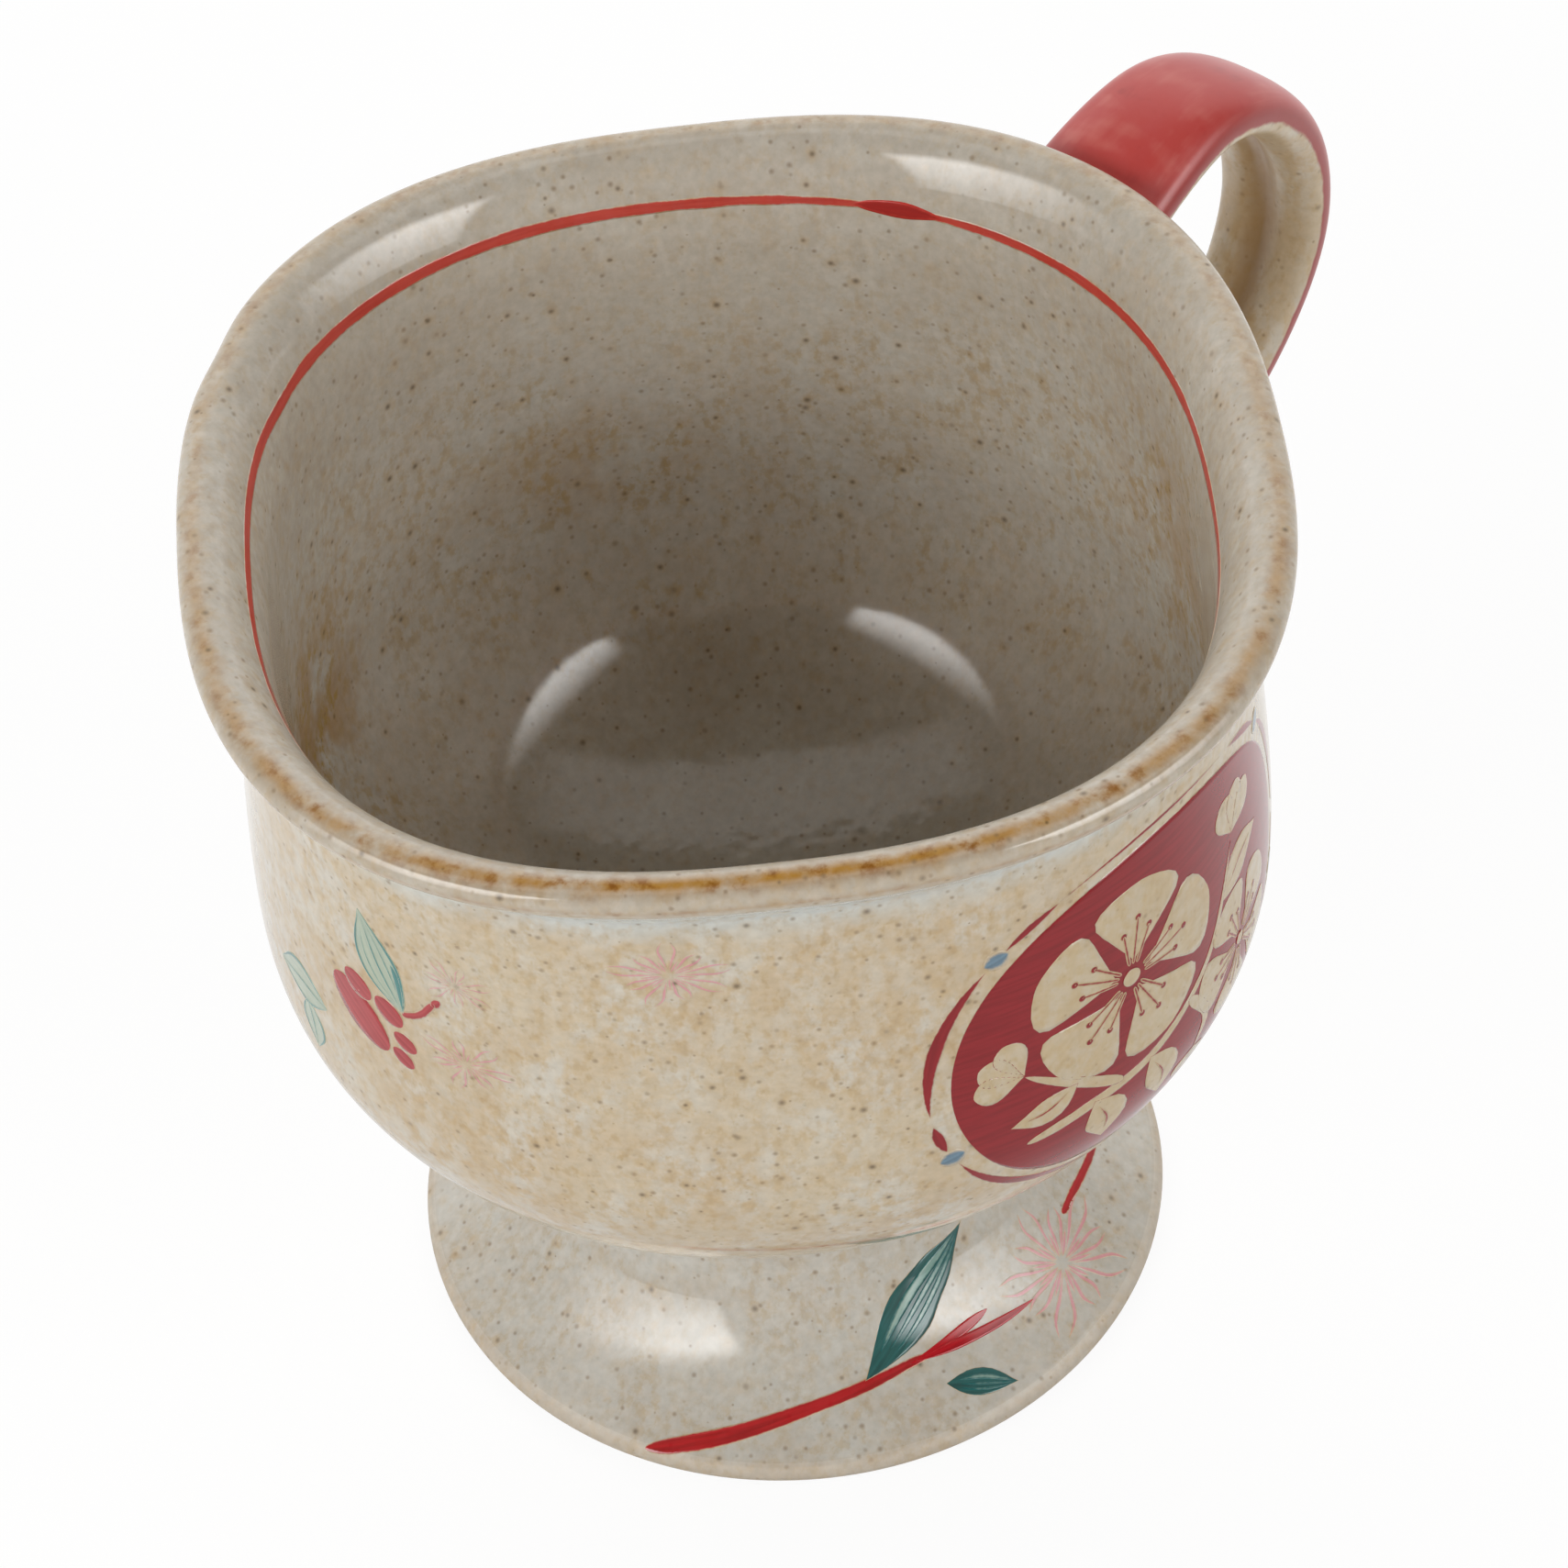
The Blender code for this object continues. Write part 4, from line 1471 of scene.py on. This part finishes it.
@dataclass
class Decoration:
    """All that is painted on the mug."""

    form: MugForm
    seat: Seat
    palette: dict[Paint, Material]
    stripe_at: Spot = Spot(20.0, 86.2)
    stripe_width: float = 1.2
    dab_width: float = 1.55
    stripe_ends: Pair = (-3.0, 362.0)  # turns from its start between which it runs
    dab_ends: Pair = (-6.0, 5.0)
    stripe_step: float = 3.0  # degrees between two points of it
    stripe_lean: float = 1.3  # how far the stripe rises on one side, and at which turn
    stripe_lean_turn: float = 120.0
    stripe_sag: float = 0.4  # how far it sags at the corners
    roundel_at: Spot = Spot(-91.4, 62.2)
    roundel_width: float = 43.6
    roundel_height: float = 37.2
    border_reach: Pair = (23.8, 19.7)
    sprig_at: Spot = Spot(180.0, 68.0)
    branch_at: Spot = Spot(-115.0, 6.83)
    twig_width: float = 0.95
    petal_fullness: float = 0.88  # widths of petals as shares of the reach of a blossom or a bud
    bud_fullness: float = 0.72
    stamen_fan: float = 16.0
    stamen_width: float = 0.36
    stamen_reach: Pair = (0.62, 0.5)  # shares of the blossom's reach, in the middle and at the sides
    anther_half: float = 0.34
    anther_width: float = 0.8
    eye_share: float = 0.18
    rib_width: float = 0.4
    leaf_bow: float = 0.1
    short_petal: float = 0.78  # length of every second petal of a line flower, as a share
    petal_line: float = 0.062  # width of its lines as a share of its reach, and at most
    petal_line_most: float = 0.42
    spoke_line: float = 0.058
    spoke_line_most: float = 0.4

    def __post_init__(self) -> None:
        """Lays out the walls that carry paint."""
        form = self.form
        self.bowl = Wall(form, form.bowl_outside(), True, 1.0)
        self.foot = Wall(form, form.foot_outside(), False, 1.0)
        roll = [point for point in form.bowl_inside() if point[1] > form.rim - 2 * form.lip_roll_depth]
        self.inside = Wall(form, roll[::-1], True, -1.0)

    def paint(self) -> list[Piece]:
        """Paints every motif.

        Returns:
            The painted pieces.
        """
        motifs = [self.stripe(), *self.medallion(), *self.sprig(), *self.branch()]
        flowers = (
            ("centre_line_flower", self.bowl, Spot(-147.5, 79.8), 5.0, 3.8, 9, 10.0),
            ("upper_side_line_flower", self.bowl, Spot(-170.8, 75.0), 3.6, 3.0, 7, 20.0),
            ("lower_side_line_flower", self.bowl, Spot(-170.5, 66.0), 4.6, 3.4, 7, 50.0),
            ("foot_line_flower", self.foot, Spot(-81.3, 5.3), 7.8, 6.2, 10, 12.0),
        )
        for name, wall, spot, wide, tall, petals, lean in flowers:
            motifs.append(self.line_flower(name, wall, spot, wide, tall, petals, lean))
        return [motif.finish(self.seat, self.palette) for motif in motifs]

    def stripe(self) -> Painting:
        """Red line drawn round the inside of the lip in one turn of the wheel, its ends overlapping."""
        spot = self.stripe_at
        start = spot.turn
        painting = Painting("red_rim_stripe", self.inside, spot, stray=0.15)
        reach, _ = self.inside.reach(start, self.inside.run_at(spot.height))

        def line(first: float, last: float) -> list[Pair]:
            """Centre line of the stripe between two turns."""
            count = max(int((last - first) / self.stripe_step), 4)
            turns = [first + (last - first) * at / count for at in range(count + 1)]
            return [(-math.radians(turn - start) * reach, self.stripe_rise(turn)) for turn in turns]

        once_round, dab = (line(start + low, start + high) for low, high in (self.stripe_ends, self.dab_ends))
        painting.stroke(once_round, self.stripe_width, Paint.STRIPE, Taper.EVEN)
        painting.stroke(dab, self.dab_width, Paint.STRIPE_DEEP, Taper.BOTH, 2, 6, Paint.STRIPE)
        return painting

    def stripe_rise(self, turn: float) -> float:
        """How far the stripe strays above its mean height at a turn."""
        lean = self.stripe_lean * math.cos(math.radians(turn - self.stripe_lean_turn))
        return lean - self.stripe_sag * math.cos(math.radians(4.0 * turn))

    def medallion(self) -> list[Painting]:
        """Red roundel on the front corner, with plum blossom left in the colour of the ground."""
        spot = self.roundel_at
        ground = Painting("medallion_ground", self.bowl, spot, stray=0.0)
        half = self.roundel_width / 2
        ground.stroke([(-half, 0.0), (half, 0.0)], self.roundel_height, Paint.RED, Taper.OVAL, 1, 48)
        border = Painting("medallion_border", self.bowl, spot)
        wide, tall = self.border_reach
        dashes = (
            (139.0, 186.0, 1.35), (189.0, 199.5, 1.1), (204.5, 258.0, 1.25), (262.0, 300.0, 1.2),
            (303.0, 334.0, 1.3), (338.0, 349.0, 1.0), (353.0, 400.0, 1.35), (43.0, 66.0, 0.9),
            (70.0, 119.0, 0.5), (118.0, 133.5, 0.9),
        )
        for start, end, width in dashes:
            points = []
            for part in range(LINE_PARTS + 1):
                angle = math.radians(start + (end - start) * part / LINE_PARTS)
                points.append((wide * math.cos(angle), tall * math.sin(angle)))
            border.stroke(points, width, Paint.RED, Taper.BOTH)
        for angle in (135.8, 202.2, 41.0, -24.0):
            turn = math.radians(angle)
            middle = Vector((wide * math.cos(turn), tall * math.sin(turn)))
            lean = Vector((1.1, 0.4))
            border.stroke([tuple(middle - lean), tuple(middle + lean)], 2.0, Paint.BLUE, Taper.OVAL, 2)
        spray = Painting("medallion_blossom_spray", self.bowl, spot)
        boughs = (
            ((-15.5, -9.0), (-10.0, -8.0), (-2.0, -6.5), (5.0, -1.5), (9.5, 7.5)),
            ((-6.0, -7.2), (-11.5, -3.5), (-15.5, -0.5)),
            ((2.0, -4.2), (4.5, -8.5), (3.5, -12.5)),
        )
        for bough in boughs:
            spray.stroke(bough, 1.6, Paint.RESERVE, Taper.HEAD, 2, 6, Paint.RED)
        self.blossom(spray, (-4.8, 4.4), 10.2, 8.0)
        self.blossom(spray, (10.6, -5.4), 7.4, 40.0)
        self.bud(spray, (9.6, 8.2), 5.0, 70.0)
        self.bud(spray, (-15.4, -0.4), 4.6, 150.0)
        self.bud(spray, (3.4, -12.2), 3.2, 262.0)
        self.reserve_leaf(spray, (-9.0, -7.8), (-7.5, -14.6), 4.4)
        self.reserve_leaf(spray, (-3.0, -7.0), (-1.0, -14.4), 4.2)
        self.reserve_leaf(spray, (7.0, 2.4), (15.4, 4.2), 4.2)
        self.reserve_leaf(spray, (-10.6, -4.2), (-17.0, -6.2), 3.2)
        return [ground, border, spray]

    def blossom(self, painting: Painting, centre: Pair, radius: float, lean: float) -> None:
        """A five-petalled blossom, with red stamens.

        Args:
            painting: The motif that it belongs to.
            centre: Its middle.
            radius: Its reach.
            lean: Turn of its first petal.
        """
        middle = Vector(centre)
        for petal in range(5):
            angle = math.radians(lean + 72.0 * petal)
            way = Vector((math.cos(angle), math.sin(angle)))
            points = [tuple(middle + way * radius * share) for share in (0.16, 0.58, 1.0)]
            width = radius * self.petal_fullness
            painting.stroke(points, width, Paint.RESERVE, Taper.PETAL, 2, 12, Paint.RED)
            for fan in (-self.stamen_fan, 0.0, self.stamen_fan):
                spoke = math.radians(lean + 72.0 * petal + fan)
                ray = Vector((math.cos(spoke), math.sin(spoke)))
                tip = self.stamen_reach[0] if fan == 0.0 else self.stamen_reach[1]
                line = [tuple(middle + ray * radius * share) for share in (0.14, 0.34, tip)]
                painting.stroke(line, self.stamen_width, Paint.RED, Taper.EVEN, 3, 4, Paint.RESERVE)
                end = middle + ray * radius * tip
                dot = [tuple(end - ray * self.anther_half), tuple(end + ray * self.anther_half)]
                painting.stroke(dot, self.anther_width, Paint.RED, Taper.OVAL, 3, 4, Paint.RESERVE)
        half = Vector((self.eye_share / 2 * radius, 0.0))
        eye = [tuple(middle - half), tuple(middle + half)]
        painting.stroke(eye, self.eye_share * radius, Paint.RESERVE, Taper.OVAL, 4, 6, Paint.RED)

    def bud(self, painting: Painting, centre: Pair, radius: float, lean: float) -> None:
        """A closed bud of three petals.

        Args:
            painting: The motif that it belongs to.
            centre: Its foot.
            radius: Its reach.
            lean: The way it points.
        """
        middle = Vector(centre)
        for fan in (-38.0, 38.0, 0.0):
            angle = math.radians(lean + fan)
            way = Vector((math.cos(angle), math.sin(angle)))
            points = [tuple(middle + way * radius * share) for share in (0.0, 0.5, 1.0)]
            painting.stroke(points, radius * self.bud_fullness, Paint.RESERVE, Taper.PETAL, 2, 8, Paint.RED)

    def reserve_leaf(self, painting: Painting, base: Pair, tip: Pair, width: float) -> None:
        """A leaf left in the colour of the ground, with a red midrib.

        Args:
            painting: The motif that it belongs to.
            base: Its base.
            tip: Its tip.
            width: Its fullest width.
        """
        start, end = Vector(base), Vector(tip)
        middle = (start + end) / 2 + Vector((-(end - start).y, (end - start).x)) * self.leaf_bow
        painting.stroke([base, tuple(middle), tip], width, Paint.RESERVE, Taper.LEAF, 2, 10, Paint.RED)
        rib = [tuple(start.lerp(middle, 0.3)), tuple(middle), tuple(middle.lerp(end, 0.6))]
        painting.stroke(rib, self.rib_width, Paint.RED, Taper.BOTH, 3, 4, Paint.RESERVE)

    def leaf(
        self,
        painting: Painting,
        base: Pair,
        tip: Pair,
        width: float,
        bow: float,
        paints: tuple[Paint, Paint],
        lines: Sequence[tuple[float, float, float, float]],
    ) -> None:
        """A painted leaf with lines along it.

        Args:
            painting: The motif that it belongs to.
            base: Its base.
            tip: Its tip.
            width: Its fullest width.
            bow: How far it bends to the left, as a share of its length.
            paints: Colours of its blade and of its lines.
            lines: For each line, how far it lies to the left of the spine as a share of the half width there,
                the shares of the leaf's length where it starts and ends, and its width.
        """
        blade, ink = paints
        start, end = Vector(base), Vector(tip)
        course = end - start
        side = Vector((-course.y, course.x)).normalized()
        spine = [base, tuple((start + end) / 2 + side * bow * course.length), tip]
        painting.stroke(spine, width, blade, Taper.LEAF, 1, 12)
        for offset, first, last, broad in lines:
            points = []
            for part in range(LINE_PARTS + 1):
                share = first + (last - first) * part / LINE_PARTS
                place, way = smooth_line(spine, share)
                half = width / 2 * Taper.LEAF.share(share)
                points.append(tuple(place + Vector((-way.y, way.x)) * half * offset))
            painting.stroke(points, broad, ink, Taper.BOTH, 2, 4, blade)

    def sprig(self) -> list[Painting]:
        """Berries and leaves on the left corner."""
        leaves = Painting("berry_sprig_leaves", self.bowl, self.sprig_at)
        pale = (Paint.LEAF, Paint.TEAL)
        edges = ((0.94, 0.0, 1.0, 0.32), (-0.94, 0.0, 1.0, 0.36), (0.0, 0.0, 0.9, 0.26))
        veins = ((0.5, 0.1, 0.8, 0.18), (-0.45, 0.1, 0.85, 0.2), (-0.76, 0.02, 0.5, 0.8))
        self.leaf(leaves, (1.7, 0.8), (-2.1, 10.6), 4.5, 0.05, pale, edges + veins)
        self.leaf(leaves, (-8.6, -6.9), (-17.0, -8.0), 4.4, -0.06, pale, edges)
        self.leaf(leaves, (-12.0, -8.4), (-11.6, -14.4), 3.4, 0.04, pale, edges)
        berries = Painting("berry_sprig_berries", self.bowl, self.sprig_at)
        ovals = (
            ((-6.3, 0.2), (-0.6, -5.2), 4.6),
            ((-4.8, 1.7), (-1.9, 0.0), 2.7),
            ((-1.3, 0.9), (1.4, -1.0), 2.6),
            ((0.4, -2.2), (2.6, -3.4), 2.0),
            ((0.1, -4.2), (2.1, -5.6), 1.9),
        )
        for start, end, width in ovals:
            berries.stroke([start, end], width, Paint.BERRY, Taper.OVAL, 2)
        berries.stroke([(1.6, 0.6), (3.4, 1.7), (5.0, 3.9)], 0.8, Paint.BERRY, Taper.EVEN, 2)
        berries.stroke([(4.8, 3.5), (5.6, 4.5)], 1.0, Paint.BERRY, Taper.OVAL, 2)
        return [leaves, berries]

    def branch(self) -> list[Painting]:
        """Red branch and leaves round the front of the foot."""
        spot = self.branch_at
        twigs = Painting("foot_red_branch", self.foot, spot)
        bough = [(-22.4, -8.9), (-17.6, -6.6), (-10.6, -3.7), (-2.5, -1.8), (1.4, -1.5)]
        twigs.stroke(bough, 2.0, Paint.BRANCH, Taper.HEAD)
        forks = (((-1.4, -1.7), (4.2, -0.9), (7.1, -0.6)), ((-0.8, -1.6), (4.5, -1.9), (11.1, -2.7)))
        for coat, fork in enumerate(forks, 2):
            twigs.stroke(fork, self.twig_width, Paint.BRANCH, Taper.BOTH, coat, 6, Paint.BRANCH)
        far_end = [(19.5, -0.4), (23.0, -0.7), (28.6, -2.0)]
        twigs.stroke(far_end, self.twig_width, Paint.BRANCH, Taper.EVEN)
        leaves = Painting("foot_leaves", self.foot, spot)
        dark = (Paint.DEEP_TEAL, Paint.FOOT_LEAF)
        stripes = ((0.34, 0.16, 0.92, 0.22), (-0.14, 0.2, 0.95, 0.12), (-0.52, 0.2, 0.92, 0.12))
        blades = (((-5.5, -2.0), (9.4, 7.7), 4.7, 0.05), ((0.7, -4.5), (5.9, -7.5), 2.5, 0.04))
        for base, tip, width, bow in blades:
            lines = [(offset, first, last, broad * width) for offset, first, last, broad in stripes]
            self.leaf(leaves, base, tip, width, bow, dark, lines)
        return [twigs, leaves]

    def line_flower(
        self, name: str, wall: Wall, spot: Spot, wide: float, tall: float, petals: int, lean: float
    ) -> Painting:
        """A flower of thin pink lines.

        Args:
            name: The piece's name.
            wall: The wall that it is painted on.
            spot: Its middle.
            wide: Its reach sideways.
            tall: Its reach up and down.
            petals: How many petals.
            lean: Turn of its first petal.

        Returns:
            The motif.
        """
        painting = Painting(name, wall, spot)
        petal_width = min(wide * self.petal_line, self.petal_line_most)
        spoke_width = min(wide * self.spoke_line, self.spoke_line_most)
        for petal in range(petals):
            angle = lean + 360.0 * petal / petals
            long = 1.0 if petal % 2 == 0 else self.short_petal
            for fan in (-10.0, 10.0):
                points = []
                for share, open_by in ((0.12, 0.4), (0.45, 0.9), (0.75, 1.0), (1.0, 0.35)):
                    turn = math.radians(angle + fan * open_by)
                    reach = long * share
                    points.append((wide * reach * math.cos(turn), tall * reach * math.sin(turn)))
                painting.stroke(points, petal_width, Paint.PINK, Taper.BOTH)
            spoke = math.radians(angle + 360.0 / petals / 2)
            ray = Vector((wide * math.cos(spoke), tall * math.sin(spoke)))
            line = [tuple(ray * share) for share in (0.08, 0.25, 0.46)]
            painting.stroke(line, spoke_width, Paint.PINK, Taper.BOTH)
        return painting


@dataclass
class Studio:
    """White table, soft light and the camera."""

    axis: float
    elevation: float = 47.587
    azimuth: float = 46.825  # how far the handle points away from the camera's right
    distance: float = 431.233
    aim_right: float = 2.211
    aim_up: float = 54.849
    roll: float = -4.977
    focal_pixels: float = 5500.0
    sensor: float = 36.0
    horizon: float = 0.42  # how bright the room is at eye level
    dusk: float = 0.04  # how bright it is above that, over the camera
    dusk_from: Pair = (0.3, 0.6)
    ceiling: float = 0.85  # how bright the panel overhead looks in the glaze
    ceiling_light: float = 0.29  # how much of it reaches the mug
    panel_ahead: tuple[float, float, float] = (-0.03, 0.12, 0.21)  # its middle, full reach and end
    panel_right: tuple[float, float, float] = (0.0, 0.5, 0.78)
    panel_up: tuple[float, float, float] = (1.0, 0.5, 0.6)
    near_table: float = 0.55  # how bright the table in front of the mug looks in the glaze
    table_change: float = 0.06  # metres before and behind the mug over which that changes
    table_size: float = 3.0
    table_colour: str = "#f2f1ee"
    table_white: float = 0.92  # share of plain white in the table where it is seen
    backdrop: float = 1.0  # how bright the white sweep behind the mug is
    backdrop_from: Pair = (0.1, 0.6)
    backdrop_dip: float = -0.35  # how far down the sweep lies
    box_distance: float = 900.0
    box_width: float = 1060.0
    box_height: float = 710.0
    box_rise: float = 0.5  # how far the boxes stand above the mug, as a share of their distance
    box_glow: float = 8.0
    box_far: Pair = (0.42, 1.0)  # shares of a box's width and height over which its glow changes
    box_near: Pair = (0.04, 0.12)
    box_top: Pair = (0.76, 0.95)
    box_foot: Pair = (0.1, 0.7)
    box_foot_glow: float = 0.35
    key_width: float = 1000.0
    key_distance: float = 1000.0
    clip_start: float = 0.01

    def build(self) -> None:
        """Sets the whole stage."""
        self.camera()
        self.floor()
        self.world()
        for name, turn, fades in (("right_soft_box", -25.0, 1.0), ("left_soft_box", -148.0, -1.0)):
            self.soft_box(name, turn - self.azimuth, fades)
        keys = (
            ("right_key", -31.0, 0.6, 370.0, 3.7),
            ("left_key", -143.0, 0.6, 370.0, 5.5),
            ("back_key", 90.0, 0.65, 300.0, 6.0),
        )
        for name, turn, rise, height, glow in keys:
            size = (self.key_width, height)
            key = self.panel(name, turn - self.azimuth, rise, self.key_distance, size, glow)
            key.visible_glossy = False
        bpy.context.scene.view_settings.view_transform = "Standard"

    def camera(self) -> None:
        """Looks at the mug as the photograph does."""
        lens = bpy.data.cameras.new("camera")
        lens.sensor_width = self.sensor
        lens.lens = self.sensor * self.focal_pixels / PHOTO_PIXELS
        lens.clip_start = self.clip_start
        turn, tilt, roll = (math.radians(angle) for angle in (self.azimuth, self.elevation, self.roll))
        right = Vector((math.cos(turn), -math.sin(turn), 0.0))
        back = Vector((-math.sin(turn) * math.cos(tilt), -math.cos(turn) * math.cos(tilt), math.sin(tilt)))
        up = back.cross(right)
        across = right * math.cos(roll) + up * math.sin(roll)
        upward = up * math.cos(roll) - right * math.sin(roll)
        place = right * self.aim_right + Vector((0.0, 0.0, self.aim_up)) + back * self.distance
        place = place * MM + Vector((self.axis, 0.0, 0.0))
        matrix = Matrix((across, upward, back)).transposed().to_4x4()
        matrix.translation = place
        camera = bpy.data.objects.new("camera", lens)
        bpy.context.scene.collection.objects.link(camera)
        camera.matrix_world = matrix
        bpy.context.scene.camera = camera

    def seen(self, tree: Tree) -> Socket:
        """1 for rays that show a background: those of the camera, of reflections and through glass."""
        path = add(tree, "ShaderNodeLightPath", {})
        camera, glossy, through = (
            path.outputs[f"Is {name} Ray"] for name in ("Camera", "Glossy", "Transmission")
        )
        return maths(tree, "MAXIMUM", maths(tree, "MAXIMUM", camera, glossy), through)

    def level_ways(self) -> tuple[Vector, Vector]:
        """Level directions away from the camera and to its right."""
        turn = math.radians(self.azimuth)
        return Vector((math.sin(turn), math.cos(turn), 0.0)), Vector((math.cos(turn), -math.sin(turn), 0.0))

    def floor(self) -> None:
        """A white table top that keeps a faint shadow."""
        shell = bmesh.new()
        bmesh.ops.create_grid(shell, x_segments=1, y_segments=1, size=self.table_size)
        mesh = bpy.data.meshes.new("table_top")
        shell.to_mesh(mesh)
        shell.free()
        white, tree = empty_material("white_table")
        paper = add(tree, "ShaderNodeBsdfDiffuse", {"Color": linear(self.table_colour)})
        ahead, _ = self.level_ways()
        place = add(tree, "ShaderNodeTexCoord", {}).outputs["Object"]
        change = (-self.table_change, self.table_change)
        mirrored = ranged(tree, reach_along(tree, place, ahead), change, (self.near_table, 1.0), False)
        glossy = add(tree, "ShaderNodeLightPath", {}).outputs["Is Glossy Ray"]
        level = ranged(tree, glossy, UNIT, (1.0, mirrored), False)
        glow = add(tree, "ShaderNodeEmission", {"Strength": level})
        share = maths(tree, "MULTIPLY", self.seen(tree), self.table_white)
        sides = {0: share, 1: paper.outputs["BSDF"], 2: glow.outputs["Emission"]}
        mixed = add(tree, "ShaderNodeMixShader", sides)
        add(tree, "ShaderNodeOutputMaterial", {"Surface": mixed.outputs["Shader"]})
        mesh.materials.append(white)
        table = bpy.data.objects.new("table_top", mesh)
        bpy.context.scene.collection.objects.link(table)

    def world(self) -> None:
        """A white room that lights the mug softly."""
        world = bpy.data.worlds.new("white_room")
        world.use_nodes = True
        tree = world.node_tree
        tree.nodes.clear()
        path = add(tree, "ShaderNodeLightPath", {})
        way = add(tree, "ShaderNodeTexCoord", {}).outputs["Generated"]
        upward = add(tree, "ShaderNodeSeparateXYZ", {"Vector": way}).outputs["Z"]
        sides = ranged(tree, upward, self.dusk_from, (self.horizon, self.dusk), False)
        ahead, right = self.level_ways()
        behind = reach_along(tree, way, (ahead.x, ahead.y, self.backdrop_dip))
        sweep = ranged(tree, behind, self.backdrop_from, (0.0, self.backdrop))
        lit = (self.ceiling_light, self.ceiling)
        overhead = ranged(tree, path.outputs["Is Glossy Ray"], UNIT, lit, False)
        panel = (
            self.band(tree, way, ahead, *self.panel_ahead),
            self.band(tree, way, right, *self.panel_right),
            self.band(tree, way, (0.0, 0.0, 1.0), *self.panel_up),
        )
        for share in panel:
            overhead = maths(tree, "MULTIPLY", overhead, share)
        glow = maths(tree, "MAXIMUM", maths(tree, "MAXIMUM", sides, sweep), overhead)
        level = ranged(tree, path.outputs["Is Camera Ray"], UNIT, (glow, 1.0), False)
        room = add(tree, "ShaderNodeBackground", {"Color": (1.0, 1.0, 1.0, 1.0), "Strength": level})
        add(tree, "ShaderNodeOutputWorld", {"Surface": room.outputs["Background"]})
        bpy.context.scene.world = world

    def band(
        self, tree: Tree, way: Socket, axis: Sequence[float], middle: float, full: float, end: float
    ) -> Socket:
        """1 for directions that lie near a plane across an axis, fading to 0 away from it.

        Args:
            tree: The node tree.
            way: The direction.
            axis: The axis.
            middle: How far along the axis the plane lies.
            full: How far from it the band is still full.
            end: How far from it the band has ended.

        Returns:
            The socket that holds the share.
        """
        off = maths(tree, "SUBTRACT", reach_along(tree, way, axis), middle)
        return ranged(tree, maths(tree, "ABSOLUTE", off), (full, end), (1.0, 0.0))

    def soft_box(self, name: str, turn: float, fades: float) -> None:
        """A soft box beside the camera that gives the glaze its window-like highlights.

        Args:
            name: The lamp's name.
            turn: Turn round the mug, in degrees.
            fades: 1 where its glow fades towards larger turns, -1 where it fades towards smaller ones.
        """
        size = (self.box_width, self.box_height)
        box = self.panel(name, turn, self.box_rise, self.box_distance, size, self.box_glow)
        box.visible_diffuse = False
        lamp = box.data
        lamp.use_nodes = True
        tree = lamp.node_tree
        tree.nodes.clear()
        spread = add(tree, "ShaderNodeNewGeometry", {}).outputs["Parametric"]
        place = add(tree, "ShaderNodeSeparateXYZ", {"Vector": spread})
        up = place.outputs["Y"]
        away = maths(tree, "MULTIPLY_ADD", place.outputs["X"], fades, 0.0 if fades > 0.0 else 1.0)
        strength = ranged(tree, away, self.box_far, (1.0, 0.0), False)
        shares = (
            ranged(tree, away, self.box_near, UNIT),
            ranged(tree, up, self.box_top, (1.0, 0.0), False),
            ranged(tree, up, self.box_foot, (self.box_foot_glow, 1.0), False),
        )
        for share in shares:
            strength = maths(tree, "MULTIPLY", strength, share)
        glow = add(tree, "ShaderNodeEmission", {"Strength": strength})
        add(tree, "ShaderNodeOutputLight", {"Surface": glow.outputs["Emission"]})

    def panel(self, name: str, turn: float, rise: float, distance: float, size: Pair, glow: float) -> Piece:
        """A glowing panel that faces the mug.

        Args:
            name: The lamp's name.
            turn: Turn round the mug, in degrees.
            rise: How far it stands above the mug, as a share of its distance.
            distance: How far off it stands.
            size: Its width and height.
            glow: Its brightness, where 1 is white paper in full light.

        Returns:
            The lamp, hidden from the camera.
        """
        lamp = bpy.data.lights.new(name, "AREA")
        lamp.shape = "RECTANGLE"
        lamp.size = size[0] * MM
        lamp.size_y = size[1] * MM
        lamp.energy = glow * math.pi * lamp.size * lamp.size_y
        box = bpy.data.objects.new(name, lamp)
        bpy.context.scene.collection.objects.link(box)
        angle = math.radians(turn)
        aim = Vector((self.axis, 0.0, self.aim_up * MM))
        way = Vector((math.cos(angle), math.sin(angle), rise)).normalized()
        facing = way.to_track_quat("Z", "Y").to_matrix().to_4x4()
        box.matrix_world = Matrix.Translation(aim + way * distance * MM) @ facing
        box.visible_camera = False
        return box


def main() -> None:
    """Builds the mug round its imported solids."""
    logging.basicConfig(level=logging.INFO, format="%(message)s")
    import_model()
    form = MugForm()
    low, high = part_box("pedestal_foot")
    seat = Seat((low.x + high.x) / 2)
    finish = SpeckledGlaze()
    group = finish.colour_group()
    glaze, _, _ = finish.material("speckled_stoneware_glaze", group)
    palette = {
        paint: paint.value.material(f"{paint.name.lower()}_ceramic_paint", finish, group) for paint in Paint
    }
    Bowl(form).build(seat, glaze)
    PedestalFoot(form).build(seat, glaze)
    StrapHandle(form).build(seat, BrushedRed().material(finish, group))
    Decoration(form, seat, palette).paint()
    Studio(seat.axis).build()


if __name__ == "__main__":
    main()
